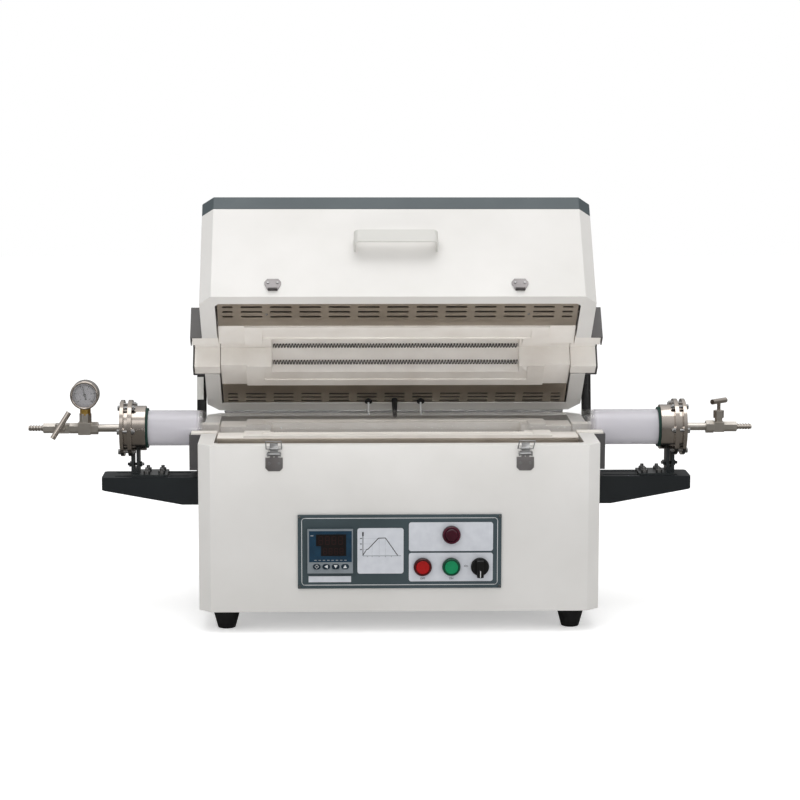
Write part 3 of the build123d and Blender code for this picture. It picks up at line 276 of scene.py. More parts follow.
def printed(name, dark, light, roughness=0.4):
    """Screen-printed ink or film, nearly even in colour."""
    material, tree, principled, place = finish_of(name, light, roughness)
    vary(tree, principled, grain(tree, place, 15), dark, light)
    return material


WHITE = powder_coat("white powder coat", "#DFDDD9", "#E9E7E4", 0.42)
# painted shade: the handle has the lid's white powder coat, drawn darker for the shade on it
SHADED_WHITE = powder_coat("white powder coat with painted shade", "#CCCBC6", "#D6D5D0", 0.42)
CAP = powder_coat("slate powder coat", "#3F4A4E", "#495458", 0.4)
# painted shade: the base's side covers are the same grey cover sheet as the lid's, drawn darker for
# the shade they stand in
SHADED_COVER = powder_coat("grey powder coat with painted shade", "#464546", "#525051", 0.45)
COVER = powder_coat("grey powder coat", "#4C4A4B", "#5A5857", 0.4)
GRAPHITE = powder_coat("graphite powder coat", "#0F1519", "#151D22", 0.62)
BRACKET = powder_coat("black oxide bracket steel", "#212628", "#2D3234", 0.35)
GLOSS_BLACK = powder_coat("black strut lacquer", "#060606", "#0C0C0C", 0.25)
PANEL = powder_coat("panel slate enamel", "#3A484C", "#45545A", 0.4)
FIBRE = ceramic_fibre()
LINER = brushed_metal("heat-stained stainless sheet", "#B9AFA3", "#CBC2B6", 0.5)
ALLOY = moulded("oxide skin on resistance wire", "#1A1110", "#2C1E1B", 0.6)
STEEL = brushed_metal("zinc-plated steel", "#8C8C8C", "#A6A6A6", 0.3)
POLISHED = brushed_metal("turned stainless steel", "#A89F96", "#C8BFB7", 0.13)
FITTING = brushed_metal("machined fitting steel", "#C6C0B8", "#E2DCD4", 0.34)
LATCH = brushed_metal("darkened latch steel", "#868282", "#9C9999", 0.3)
CATCH = brushed_metal("dark catch steel", "#716D6D", "#868383", 0.35)
BRASS = brushed_metal("turned brass", "#D2A956", "#E6C272", 0.3)
ALUMINIUM = printed("plate grey enamel", "#D3D6DD", "#DDE0E6", 0.35)
HEATSINK = brushed_metal("extruded aluminium", "#9A9CA0", "#B0B2B6", 0.4, (1, 0.05, 1))
RUBBER = rubber("black rubber", "#121213", "#1D1D1E")
SEAL = rubber("green silicone rubber", "#0B2F27", "#123F34")
BLACK = moulded("black nylon", "#08090A", "#0F1011", 0.4)
CASE = moulded("grey controller moulding", "#7E868C", "#8B9399", 0.45)
BLUE = printed("blue printed field", "#032C42", "#053B56")
KEY = moulded("dark blue keycap", "#0B2535", "#10303F", 0.4)
# painted shade: near-black sheets behind the lid's cooling slots stand in for the shade inside them
SLOT_SHADE = printed("painted slot shade", "#14100D", "#1F1813", 0.8)
SCREEN = printed("dark display window", "#0C0606", "#120909", 0.3)
UNLIT = printed("unlit display segments", "#2E1414", "#381A1A", 0.4)
INK_WHITE = printed("white ink", "#D8DADB", "#E8EAEB")
INK_GREY = printed("grey ink", "#8F9499", "#A0A5AA")
INK_BLACK = printed("black ink", "#161616", "#222222")
LABEL = printed("blank paper label", "#D8D7D2", "#E6E5E0", 0.5)
RED = moulded("red acrylic cap", "#9C0404", "#B40808", 0.22)
GREEN = moulded("green acrylic cap", "#067A4C", "#0A935E", 0.22)
ALARM = moulded("dark crimson lens", "#300514", "#440B20", 0.18)
RED_RING = moulded("dark red ring", "#3A0508", "#55080C", 0.25)
GREEN_RING = moulded("dark green ring", "#063A28", "#0A5038", 0.25)
ALARM_RING = moulded("dark crimson ring", "#3C0A1C", "#58122C", 0.25)
QUARTZ = fused_quartz()
GLASS = clear_window()
DIAL = printed("grey dial enamel", "#9D9BA0", "#A3A1A6", 0.5)

NODE_FINISH = {
    "cabinet_shell": (WHITE, 0.8),
    "cabinet_panels": (WHITE, 0.3),
    "lid_shell": (WHITE, 0.8),
    "lid_handle": (SHADED_WHITE, 0.5),
    "lid_cap": (CAP, 0.8),
    "rubber_feet": (RUBBER, 1.2),
    "base_liner": (LINER, 0.0),
    "lid_liner": (LINER, 0.0),
    "lower_insulation": (FIBRE, 1.0),
    "lid_insulation": (FIBRE, 1.0),
    "base_covers": (SHADED_COVER, 0.4),
    "lid_covers": (COVER, 0.4),
    "shelf_arms": (GRAPHITE, 0.5),
    "control_panel": (PANEL, 0.4),
    "panel_plates": (ALUMINIUM, 0.15),
    "controller_case": (CASE, 0.6),
    "controller_screen": (BLUE, 0.15),
    "button_bezels": (BLACK, 0.5),
    "alarm_lamp": (ALARM, 0.3),
    "stop_button": (RED, 0.3),
    "start_button": (GREEN, 0.3),
    "selector_knob": (BLACK, 0.5),
    "latch_plates": (LATCH, 0.2),
    "latch_lever_left": (STEEL, 0.2),
    "latch_lever_right": (STEEL, 0.2),
    "latch_bail_left": (STEEL, 0.0),
    "latch_bail_right": (STEEL, 0.0),
    "lid_catches": (CATCH, 0.2),
    "lid_pivots": (STEEL, 0.2),
    "base_pivots": (STEEL, 0.2),
    "flange_brackets": (BRACKET, 0.3),
    "flange_bolts": (STEEL, 0.2),
    "flange_seals": (SEAL, 0.2),
    "tube_flanges": (POLISHED, 0.6),
    "quartz_tube": (QUARTZ, 0.0),
    "inlet_fittings": (FITTING, 0.4),
    "outlet_fittings": (FITTING, 0.4),
    "inlet_valve_handle": (POLISHED, 0.6),
    "outlet_valve_handle": (POLISHED, 0.6),
    "gauge_nut": (BRASS, 0.3),
    "gauge_case": (POLISHED, 0.8),
    "gauge_dial": (DIAL, 0.0),
    "gauge_lens": (GLASS, 0.0),
    "gauge_needle": (BLACK, 0.0),
    "strut_rod_left": (POLISHED, 0.3),
    "strut_rod_right": (POLISHED, 0.3),
    "strut_cylinder_left": (GLOSS_BLACK, 0.5),
    "strut_cylinder_right": (GLOSS_BLACK, 0.5),
    "thermocouple": (STEEL, 0.3),
    "power_electronics": (HEATSINK, 0.5),
    "cooling_fan_frame": (BLACK, 0.4),
    "cooling_fan_rotor": (BLACK, 0.2),
    "cable_gland": (BLACK, 0.4),
}


# ---- shapes -------------------------------------------------------------------------------
def keep(name, mesh_data, material, body, on_lid=False):
    """Puts a mesh in the scene, riding on a body, with its place in its vertices."""
    piece = bpy.data.objects.new(name, mesh_data)
    bpy.context.scene.collection.objects.link(piece)
    if on_lid:
        mesh_data.transform(lid_turn())
    mesh_data.materials.clear()
    mesh_data.materials.append(material)
    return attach(piece, body)


def dressed(node, material, bevel_mm):
    """Merged copy of a CAD node with rounded edges, which stands for the node."""
    source = frame["nodes"][node]
    shape = source.data.copy()
    cleaned = bmesh.new()
    cleaned.from_mesh(shape)
    bmesh.ops.remove_doubles(cleaned, verts=cleaned.verts, dist=1e-6)
    flat = radians(1)
    bmesh.ops.dissolve_limit(cleaned, angle_limit=flat, verts=cleaned.verts, edges=cleaned.edges)
    cleaned.to_mesh(shape)
    cleaned.free()
    shape.shade_smooth()
    shape.set_sharp_from_angle(angle=radians(32))
    piece = keep(node + "_finish", shape, material, body_of(source)[0])
    if bevel_mm:
        rounding = piece.modifiers.new("rounding", "BEVEL")
        rounding.width = bevel_mm / 1000
        rounding.segments = 2
        rounding.limit_method = "ANGLE"
        rounding.angle_limit = radians(32)
        rounding.harden_normals = True
    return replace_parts(piece, node)


def baked(name, tree, values, material, body):
    """Runs a Geometry Nodes tree once and keeps its plain mesh."""
    holder = bpy.data.objects.new(name + "_maker", bpy.data.meshes.new(name + "_maker"))
    bpy.context.scene.collection.objects.link(holder)
    modifier = holder.modifiers.new("maker", "NODES")
    modifier.node_group = tree
    for item in tree.interface.items_tree:
        if item.in_out == "INPUT" and item.name in values:
            modifier[item.identifier] = values[item.name]
    depsgraph = bpy.context.evaluated_depsgraph_get()
    result = bpy.data.meshes.new_from_object(holder.evaluated_get(depsgraph), depsgraph=depsgraph)
    bpy.data.objects.remove(holder)
    return keep(name, result, material, body)


def new_tree(name, inputs):
    """Geometry tree with named number inputs and one geometry output."""
    tree = bpy.data.node_groups.new(name, "GeometryNodeTree")
    for label, (kind, value) in inputs.items():
        socket = tree.interface.new_socket(label, in_out="INPUT", socket_type=kind)
        socket.default_value = value
    tree.interface.new_socket("Geometry", in_out="OUTPUT", socket_type="NodeSocketGeometry")
    return tree, add(tree, "NodeGroupInput"), add(tree, "NodeGroupOutput")


def copy_angle(tree, value):
    """First angle, plus the step angle for each copy before this one."""
    links = {1: value["Step angle"], 2: value["First angle"]}
    turn = add(tree, "ShaderNodeMath", links, operation="MULTIPLY_ADD")
    tree.links.new(add(tree, "GeometryNodeInputIndex").outputs[0], turn.inputs[0])
    return turn.outputs[0]


def on_circle(tree, points, angle, radius, axes):
    """Moves the points to their angles on a circle."""
    parts = {}
    for axis, function in axes:
        wave = add(tree, "ShaderNodeMath", {0: angle}, operation=function)
        links = {0: wave.outputs[0], 1: radius}
        parts[axis] = add(tree, "ShaderNodeMath", links, operation="MULTIPLY").outputs[0]
    spot = add(tree, "ShaderNodeCombineXYZ", parts)
    links = {"Geometry": points.outputs[0], "Position": spot.outputs["Vector"]}
    return add(tree, "GeometryNodeSetPosition", links)


def finish_copies(tree, placed, shape, out, material, rotation=None):
    """Puts the shape on every point, makes the copies real and paints them."""
    links = {"Points": placed.outputs["Geometry"], "Instance": shape}
    if rotation:
        links["Rotation"] = rotation
    copies = add(tree, "GeometryNodeInstanceOnPoints", links)
    real = add(tree, "GeometryNodeRealizeInstances", {"Geometry": copies.outputs["Instances"]})
    links = {"Geometry": real.outputs["Geometry"]}
    painted = add(tree, "GeometryNodeSetMaterial", links, Material=material)
    tree.links.new(painted.outputs["Geometry"], out.inputs["Geometry"])


def spiral_tree():
    """Wound heating spirals lying along X on an arc of the chamber wall."""
    number, whole = "NodeSocketFloat", "NodeSocketInt"
    inputs = {
        "Length": (number, 0.4),
        "Turns": (number, 90.0),
        "Spiral radius": (number, 0.003),
        "Wire radius": (number, 0.0007),
        "Wall radius": (number, 0.05),
        "First angle": (number, 0.4),
        "Step angle": (number, 0.6),
        "Count": (whole, 5),
    }
    tree, given, out = new_tree("heating spirals", inputs)
    value = given.outputs
    links = {
        "Rotations": value["Turns"],
        "Start Radius": value["Spiral radius"],
        "End Radius": value["Spiral radius"],
        "Height": value["Length"],
    }
    wound = add(tree, "GeometryNodeCurveSpiral", links, Resolution=9)
    links = {"Radius": value["Wire radius"]}
    wire = add(tree, "GeometryNodeCurvePrimitiveCircle", links, Resolution=5)
    links = {"Curve": wound.outputs["Curve"], "Profile Curve": wire.outputs["Curve"]}
    coil = add(tree, "GeometryNodeCurveToMesh", links)
    half = add(tree, "ShaderNodeMath", {0: value["Length"]}, operation="MULTIPLY")
    half.inputs[1].default_value = -0.5
    offset = add(tree, "ShaderNodeCombineXYZ", {"X": half.outputs[0]})
    links = {"Geometry": coil.outputs["Mesh"]}
    lying = add(tree, "GeometryNodeTransform", links, Rotation=(0, pi / 2, 0))
    links = {"Geometry": lying.outputs["Geometry"], "Translation": offset.outputs["Vector"]}
    centred = add(tree, "GeometryNodeTransform", links)
    rows = add(tree, "GeometryNodePoints", {"Count": value["Count"]})
    axes = (("Y", "COSINE"), ("Z", "SINE"))
    placed = on_circle(tree, rows, copy_angle(tree, value), value["Wall radius"], axes)
    finish_copies(tree, placed, centred.outputs["Geometry"], out, ALLOY)
    return tree


def cones_tree(material):
    """Rows of turned cones: two counts and two steps place them, two radii and a depth shape them."""
    number, whole, vector = "NodeSocketFloat", "NodeSocketInt", "NodeSocketVector"
    inputs = {
        "Count": (whole, 2),
        "Step": (vector, (0.01, 0, 0)),
        "Rows": (whole, 1),
        "Row step": (vector, (0, 0.01, 0)),
        "Foot radius": (number, 0.002),
        "Top radius": (number, 0.0015),
        "Depth": (number, 0.001),
        "Sides": (whole, 24),
    }
    tree, given, out = new_tree("rows of cones", inputs)
    value = given.outputs
    links = {0: value["Count"], 1: value["Rows"]}
    total = add(tree, "ShaderNodeMath", links, operation="MULTIPLY")
    spots = add(tree, "GeometryNodePoints", {"Count": total.outputs[0]})
    index = add(tree, "GeometryNodeInputIndex").outputs[0]
    within = add(tree, "ShaderNodeMath", {0: index, 1: value["Count"]}, operation="MODULO")
    share = add(tree, "ShaderNodeMath", {0: index, 1: value["Count"]}, operation="DIVIDE")
    row = add(tree, "ShaderNodeMath", {0: share.outputs[0]}, operation="FLOOR")
    links = {0: value["Step"], "Scale": within.outputs[0]}
    along = add(tree, "ShaderNodeVectorMath", links, operation="SCALE")
    links = {0: value["Row step"], "Scale": row.outputs[0]}
    across = add(tree, "ShaderNodeVectorMath", links, operation="SCALE")
    links = {0: along.outputs["Vector"], 1: across.outputs["Vector"]}
    spot = add(tree, "ShaderNodeVectorMath", links, operation="ADD")
    links = {"Geometry": spots.outputs[0], "Position": spot.outputs["Vector"]}
    placed = add(tree, "GeometryNodeSetPosition", links)
    links = {"Vertices": value["Sides"], "Radius Top": value["Top radius"]}
    links |= {"Radius Bottom": value["Foot radius"], "Depth": value["Depth"]}
    cone = add(tree, "GeometryNodeMeshCone", links)
    finish_copies(tree, placed, cone.outputs["Mesh"], out, material)
    return tree


def ticks_tree(material):
    """Bars round part of a circle in the XZ plane, each pointing at the middle."""
    number, whole = "NodeSocketFloat", "NodeSocketInt"
    inputs = {
        "Count": (whole, 51),
        "Radius": (number, 0.018),
        "First angle": (number, 0.0),
        "Step angle": (number, 0.1),
        "Width": (number, 0.0003),
        "Thickness": (number, 0.0001),
        "Length": (number, 0.002),
    }
    tree, given, out = new_tree("dial ticks", inputs)
    value = given.outputs
    spots = add(tree, "GeometryNodePoints", {"Count": value["Count"]})
    angle = copy_angle(tree, value)
    placed = on_circle(tree, spots, angle, value["Radius"], (("X", "SINE"), ("Z", "COSINE")))
    links = {"X": value["Width"], "Y": value["Thickness"], "Z": value["Length"]}
    size = add(tree, "ShaderNodeCombineXYZ", links)
    bar = add(tree, "GeometryNodeMeshCube", {"Size": size.outputs["Vector"]})
    lean = add(tree, "ShaderNodeCombineXYZ", {"Y": angle})
    finish_copies(tree, placed, bar.outputs["Mesh"], out, material, lean.outputs["Vector"])
    return tree


FACING = {
    "front": Matrix.Rotation(pi / 2, 4, "X"),
    "right": Matrix.Rotation(pi / 2, 4, "Y"),
    "left": Matrix.Rotation(-pi / 2, 4, "Y"),
    "up": Matrix.Identity(4),
    "down": Matrix.Rotation(pi, 4, "X"),
}


def cones(name, tree, point, facing, values, material, body, on_lid=False):
    """Rows of cones standing on a surface at point; steps are given before they are turned."""
    piece = baked(name, tree, values, material, body)
    piece.data.transform(Matrix.Translation(mm(*point)) @ FACING[facing])
    if on_lid:
        piece.data.transform(lid_turn())
    piece.data.shade_smooth()
    piece.data.set_sharp_from_angle(angle=radians(30))
    return piece


def heating_spirals():
    """Wound spirals on the chamber's wall, in place of the plain bars of the solids."""
    tree = spiral_tree()
    for name, node, body, side in (
        ("lower_spirals", "lower_heating_coils", "cabinet", -1),
        ("upper_spirals", "upper_heating_coils", "lid", 1),
    ):
        values = {
            "Length": CHAMBER_LENGTH / 1000,
            "Turns": CHAMBER_LENGTH / SPIRAL_PITCH,
            "Spiral radius": (SPIRAL_RADIUS - SPIRAL_WIRE) / 1000,
            "Wire radius": SPIRAL_WIRE / 1000,
            "Wall radius": (CHAMBER_RADIUS - 1.0) / 1000,
            "First angle": side * radians(COIL_ANGLES[0]),
            "Step angle": side * radians(COIL_ANGLES[1] - COIL_ANGLES[0]),
            "Count": len(COIL_ANGLES),
        }
        piece = baked(name, tree, values, ALLOY, body)
        piece.data.transform(Matrix.Translation(Vector((MIDDLE_X, TUBE.y, TUBE.z))))
        if body == "lid":
            piece.data.transform(lid_turn())
        piece.data.shade_smooth()
        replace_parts(piece, node)


def plain_mesh(name, shape):
    """Mesh data from an edited shape, which is then let go."""
    mesh_data = bpy.data.meshes.new(name)
    shape.to_mesh(mesh_data)
    shape.free()
    return mesh_data


def turned(name, profile, start, direction, material, body, sides=48):
    """Lathe-turned piece: profile is (distance along, radius) in millimetres from start."""
    shape = bmesh.new()
    axis = Vector(direction).normalized()
    stand = axis.to_track_quat("Z", "Y").to_matrix()
    rings = []
    for along, radius in profile:
        ring = []
        for i in range(sides):
            angle = 2 * pi * i / sides
            local = Vector((radius * cos(angle), radius * sin(angle), along)) / 1000
            ring.append(shape.verts.new(start + stand @ local))
        rings.append(ring)
    for low, high in zip(rings, rings[1:]):
        for i in range(sides):
            j = (i + 1) % sides
            shape.faces.new((low[i], low[j], high[j], high[i]))
    if profile[0] == profile[-1]:
        bmesh.ops.remove_doubles(shape, verts=shape.verts, dist=1e-7)
    else:
        shape.faces.new(list(reversed(rings[0])))
        shape.faces.new(rings[-1])
    bmesh.ops.recalc_face_normals(shape, faces=shape.faces)
    mesh_data = plain_mesh(name, shape)
    mesh_data.shade_smooth()
    mesh_data.set_sharp_from_angle(angle=radians(35))
    return keep(name, mesh_data, material, body)


def slabs(name, boxes, material, body, on_lid=False):
    """Thin rectangular prints or trims: each box is (x0, x1, y0, y1, z0, z1) in millimetres."""
    shape = bmesh.new()
    for x0, x1, y0, y1, z0, z1 in boxes:
        low = mm(x0, y0, z0)
        high = mm(x1, y1, z1)
        place = Matrix.Translation((low + high) / 2) @ Matrix.Diagonal((*(high - low), 1))
        bmesh.ops.create_cube(shape, size=1, matrix=place)
    return keep(name, plain_mesh(name, shape), material, body, on_lid)


def words(name, text, x, y, z, size, material, body="cabinet"):
    """Printed characters facing the front."""
    data = bpy.data.curves.new(name, "FONT")
    data.body = text
    data.size = size / 1000
    data.extrude = 0.00008
    data.align_x = "CENTER"
    data.align_y = "CENTER"
    maker = bpy.data.objects.new(name + "_maker", data)
    bpy.context.scene.collection.objects.link(maker)
    depsgraph = bpy.context.evaluated_depsgraph_get()
    mesh_data = bpy.data.meshes.new_from_object(maker.evaluated_get(depsgraph))
    bpy.data.objects.remove(maker)
    mesh_data.transform(Matrix.Translation(mm(x, y, z)) @ Matrix.Rotation(pi / 2, 4, "X"))
    return keep(name, mesh_data, material, body)


# ---- control panel ------------------------------------------------------------------------
def digit_bars(x, z, width, height, y):
    """Four unlit seven-segment digits as small bars."""
    bars = []
    half = height / 2
    bar = width * 0.16
    segments = (
        (0, width, height - bar, height),
        (width - bar, width, half, height),
        (width - bar, width, 0, half),
        (0, width, 0, bar),
        (0, bar, 0, half),
        (0, bar, half, height),
        (0, width, half - bar / 2, half + bar / 2),
    )
    for place in range(4):
        left = x + place * width * 1.45
        for x0, x1, z0, z1 in segments:
            bars.append((left + x0, left + x1, y - 0.1, y, z + z0, z + z1))
    return bars


def controller_face():
    """Blue field, the two dark windows with their digits, small marks, and the signs on the keys."""
    field = SCREEN_FACE, -9.02
    slabs("controller_blue_field", [(-148.4, -78.6, *field, -195.3, -143.6)], BLUE, "cabinet")
    glass = WINDOW_FACE, -9.5
    windows = [(-137, -87.8, *glass, -168.5, -149), (-129, -87.8, *glass, -185, -168.5)]
    slabs("controller_windows", windows, SCREEN, "cabinet")
    digits = digit_bars(-133, -166, 7.4, 14, WINDOW_FACE - 0.01)
    digits += digit_bars(-125.5, -182.5, 6.2, 10.5, WINDOW_FACE - 0.01)
    slabs("controller_digits", digits, UNLIT, "cabinet")
    ink = -9.4, SCREEN_FACE
    marks = [(-140 + i * 7, -136 + i * 7, *ink, -192.8, -191.6) for i in range(8)]
    marks += [(-146, -141.5, *ink, -152, -150.4), (-136, -131.5, *ink, -173, -171.6)]
    slabs("controller_marks", marks, INK_GREY, "cabinet")
    for number, mark in enumerate("◇◀▼▲", 1):
        node = f"controller_key_{number}"
        key_low, key_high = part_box(node)
        place = mm(0, 0, 0)
        x = ((key_low.x + key_high.x) / 2 - place.x) * 1000
        z = ((key_low.z + key_high.z) / 2 - place.z) * 1000
        dressed(node, KEY, 0.3)
        words(f"key_mark_{number}", mark, x, -10.25, z, 7, INK_WHITE, node)


def dashes(x0, z0, x1, z1, count):
    """Dotted line on the programme plate."""
    width = 0.35
    depth = PLATE_FACE - 0.12, PLATE_FACE
    spots = []
    for i in range(count):
        x = x0 + (x1 - x0) * i / count
        z = z0 + (z1 - z0) * i / count
        long_x = abs(x1 - x0) / count * 0.5
        long_z = abs(z1 - z0) / count * 0.5
        half_x = max(long_x, width) / 2
        half_z = max(long_z, width) / 2
        spots.append((x - half_x, x + half_x, *depth, z - half_z, z + half_z))
    return spots


BOX_LOOPS = ((0, 1, 2, 3), (7, 6, 5, 4), (0, 4, 5, 1), (1, 5, 6, 2), (2, 6, 7, 3), (3, 7, 4, 0))


def bent_line(name, points, width, face, material):
    """Printed line through (x, z) points on the front."""
    shape = bmesh.new()
    for (x0, z0), (x1, z1) in zip(points, points[1:]):
        run = Vector((x1 - x0, 0, z1 - z0))
        side = Vector((-run.z, 0, run.x)).normalized() * width / 2
        run = run.normalized() * width / 2
        corners = []
        for y in (face - 0.14, face):
            ends = ((x0, z0, -1, -1), (x0, z0, -1, 1), (x1, z1, 1, 1), (x1, z1, 1, -1))
            for x, z, ahead, turn in ends:
                offset = run * ahead * 0.5 + side * turn
                corners.append(shape.verts.new(mm(x + offset.x, y, z + offset.z)))
        for loop in BOX_LOOPS:
            shape.faces.new([corners[i] for i in loop])
    bmesh.ops.recalc_face_normals(shape, faces=shape.faces)
    return keep(name, plain_mesh(name, shape), material, "cabinet")


def rounded_frame(x0, x1, z0, z1, radius):
    """Closed outline with rounded corners, as (x, z) points."""
    points = []
    corners = ((x1 - radius, z1 - radius, 0), (x0 + radius, z1 - radius, 90))
    corners += ((x0 + radius, z0 + radius, 180), (x1 - radius, z0 + radius, 270))
    for x, z, start in corners:
        for step in range(7):
            angle = radians(start + step * 15)
            points.append((x + radius * cos(angle), z + radius * sin(angle)))
    return points + points[:1]


def panel_prints():
    """White border, the heating programme's graph, plain ON and OFF, and the selector's pointer."""
    border = rounded_frame(-160.5, 160.5, -235, -123.5, 5)
    bent_line("panel_border", border, 1.0, PANEL_FACE, INK_WHITE)
    axis_x = -60.3
    bent_line("programme_axis", [(axis_x, -186), (axis_x, -150)], 1.0, PLATE_FACE, INK_BLACK)
    bent_line("programme_arrow", [(axis_x, -152.5), (axis_x, -147)], 2.4, PLATE_FACE, INK_BLACK)
    bent_line("programme_base", [(axis_x, -186.2), (2.0, -186.2)], 1.0, PLATE_FACE, INK_GREY)
    curve = [(axis_x, -184.9), (-54.3, -175.6), (-52.1, -175.1), (-34.8, -156.7), (-23.5, -156.4)]
    bent_line("programme_curve", curve + [(-3.4, -185.6)], 1.2, PLATE_FACE, INK_BLACK)
    dots = dashes(-60, -157.1, -35, -157.1, 14) + dashes(-60, -166.2, -45, -166.2, 9)
    dots += dashes(-60, -175.6, -54, -175.6, 4) + dashes(-45.2, -168, -45.2, -186, 10)
    dots += dashes(-33.7, -157, -33.7, -186, 16) + dashes(-23.5, -157, -23.5, -186, 16)
    slabs("programme_guides", dots, INK_GREY, "cabinet")
    ink = PLATE_FACE - 0.13, PLATE_FACE
    ticks = [(x, x + 0.6, *ink, -188.2, -186) for x in (-53, -45.5, -34, -23.8, -14)]
    ticks += [(-65, -62, *ink, z, z + 1.3) for z in (-157.8, -166.9, -176.3)]
    slabs("programme_ticks", ticks, INK_BLACK, "cabinet")
    words("word_off", "OFF", STOP_X, PLATE_FACE - 0.1, -224.6, 4.6, INK_BLACK)
    words("word_start", "ON", START_X, PLATE_FACE - 0.1, -224.6, 4.6, INK_BLACK)
    words("word_on", "ON", 109, PLATE_FACE - 0.1, -204, 4.2, INK_BLACK)
    knob_low = (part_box("selector_knob")[0].z - mm(0, 0, 0).z) * 1000
    pointer = [(131.1, 132.4, -22.15, -22, knob_low + 1, knob_low + 12)]
    slabs("selector_pointer", pointer, INK_WHITE, "selector_knob")


def button_rings():
    """Coloured collars pressed on the button barrels."""
    section = [(0, 11.5), (0, 14.9), (1.2, 14.6), (2.4, 13.4), (2.4, 11.5), (0, 11.5)]
    for name, x, z, material in (
        ("alarm", START_X, LAMP_Z, ALARM_RING),
        ("stop", STOP_X, BUTTON_Z, RED_RING),
        ("start", START_X, BUTTON_Z, GREEN_RING),
    ):
        turned(f"{name}_ring", section, mm(x, BUTTON_FACE, z), (0, -1, 0), material, "cabinet")


# ---- fittings, fasteners and leads --------------------------------------------------------
def small_screws():
    """Screw heads on the catches, covers, liner and panel, and washers under the feet."""
    tree = cones_tree(STEEL)
    head = {"Foot radius": 0.0022, "Top radius": 0.0016, "Depth": 0.0012}

    def pair(name, point, facing, step, body="cabinet", on_lid=False, **more):
        values = head | {"Count": 2, "Step": step} | more
        cones(name, tree, point, facing, values, STEEL, body, on_lid)

    for side, label in ((-1, "left"), (1, "right")):
        x = side * LATCH_X + CATCH_SHIFT - 7.9
        pair(f"catch_screws_{label}", (x, -1.5, 25), "front", (0.0158, 0, 0), "lid", True)
        place = (side * 350, TUBE_SETBACK - 30, -52)
        pair(f"base_cover_screws_{label}", place, label, (0, 0.06, 0))
    pair("strip_screws", (-219, 55, 0.5), "down", (0.438, 0, 0), "lid", True)
    rows = {"Rows": 2, "Row step": (0, 0.116, 0)}
    pair("panel_screws", (-164, PANEL_FACE, -237.5), "front", (0.328, 0, 0), **rows)
    values = {"Foot radius": 0.0246, "Top radius": 0.0246, "Depth": 0.0009, "Count": 2, "Sides": 48}
    values |= {"Step": (0.572, 0, 0), "Rows": 2, "Row step": (0, 0.26, 0)}
    cones("foot_washers", tree, (-286, 45, CABINET_BOTTOM), "up", values, STEEL, "cabinet")


def slot_shade_boards():
    """Dark sheets in the lid, behind both rows of cooling slots: painted shade for the dark inside of
    the slots.
    """
    panels = [(-296, 296, 30, 66, 6, 6.4), (-296, 296, 297, 326, 6, 6.4)]
    slabs("slot_shade_boards", panels, SLOT_SHADE, "lid", on_lid=True)


def second_finish(node, material, chosen):
    """Gives a second material to the faces whose middle is chosen."""
    mesh_data = bpy.data.objects[node + "_finish"].data
    mesh_data.materials.append(material)
    for face in mesh_data.polygons:
        if chosen(face.center):
            face.material_index = 1


def bright_rivets():
    """The screws and the pivot of each latch plate are bright, on a darker plate."""
    plate_front = FRONT_Y - 0.00155
    second_finish("latch_plates", STEEL, lambda middle: middle.y < plate_front)


def bright_bolts():
    """The bolts through the foot plates are bright zinc; the brackets themselves are black."""
    plate_top = mm(0, 0, -78).z + 0.0001
    reach = 0.4435

    def on_foot(middle):
        return abs(middle.x - TUBE.x) < reach and middle.z > plate_top

    second_finish("flange_brackets", STEEL, on_foot)


def hose_barbs():
    """Ridged tails that a soft hose is pushed over."""
    tree = cones_tree(POLISHED)
    values = {"Count": 5, "Step": (0, 0, 0.0048), "Foot radius": 0.0052, "Top radius": 0.0041}
    values |= {"Depth": 0.0036, "Sides": 32}
    for name, x, facing in (("inlet", INLET_BARB_X, "left"), ("outlet", OUTLET_BARB_X, "right")):
        place = (x, TUBE_SETBACK, TUBE_DROP)
        cones(f"{name}_barb_ridges", tree, place, facing, values, POLISHED, "cabinet")


def gauge_face():
    """Scale ticks and numbers on the dial, the bezel round it and the brass collar below it."""
    tree = ticks_tree(INK_BLACK)
    start = radians(-135)
    fine = {"Count": 51, "Radius": 0.0172, "First angle": start, "Step angle": radians(5.4)}
    fine |= {"Width": 0.0007, "Thickness": 0.0001, "Length": 0.0022}
    bold = {"Count": 6, "Radius": 0.0162, "First angle": start, "Step angle": radians(54)}
    bold |= {"Width": 0.0013, "Thickness": 0.00012, "Length": 0.0042}
    for name, values in (("gauge_ticks", fine), ("gauge_long_ticks", bold)):
        piece = baked(name, tree, values, INK_BLACK, "cabinet")
        piece.data.transform(Matrix.Translation(mm(GAUGE_X, DIAL_FACE - 0.1, GAUGE_Z)))
    for i in range(6):
        angle = start + i * radians(54)
        place = (GAUGE_X + 11 * sin(angle), DIAL_FACE - 0.2, GAUGE_Z + 11 * cos(angle))
        words(f"gauge_number_{i}", str(i * 2), *place, 4.0, INK_BLACK)
    bezel = [(0, 20.2), (0, 24.1), (1.4, 24.1), (2.8, 22.8), (3.0, 21.9), (2.0, 20.6), (0, 20.2)]
    collar = [(0, 0.5), (0, 8.6), (0.4, 9.2), (3, 9.2), (3, 0.5)]
    place = mm(GAUGE_X, TUBE_SETBACK, 20.4)
    turned("gauge_nut_collar", collar, place, (0, 0, 1), BRASS, "cabinet")
    place = mm(GAUGE_X, 165.2, GAUGE_Z)
    turned("gauge_bezel", bezel, place, (0, -1, 0), POLISHED, "cabinet", sides=64)


def strut_label():
    """Blank label on the outer side of the left strut's cylinder."""
    top = mm(STRUT_X, 347.1, 112.9)
    base = mm(STRUT_X, 302.1, -100)
    way = (base - top).normalized()
    band = [(0, 8.4), (0.2, 8.62), (39.8, 8.62), (40, 8.4)]
    piece = turned("strut_label", band, top + way * 0.051, way, LABEL, "strut_cylinder_left")
    edge = top.x + 0.003
    shape = bmesh.new()
    shape.from_mesh(piece.data)
    inner = [face for face in shape.faces if face.calc_center_median().x > edge or len(face.verts) > 4]
    bmesh.ops.delete(shape, geom=inner, context="FACES")
    shape.to_mesh(piece.data)
    shape.free()


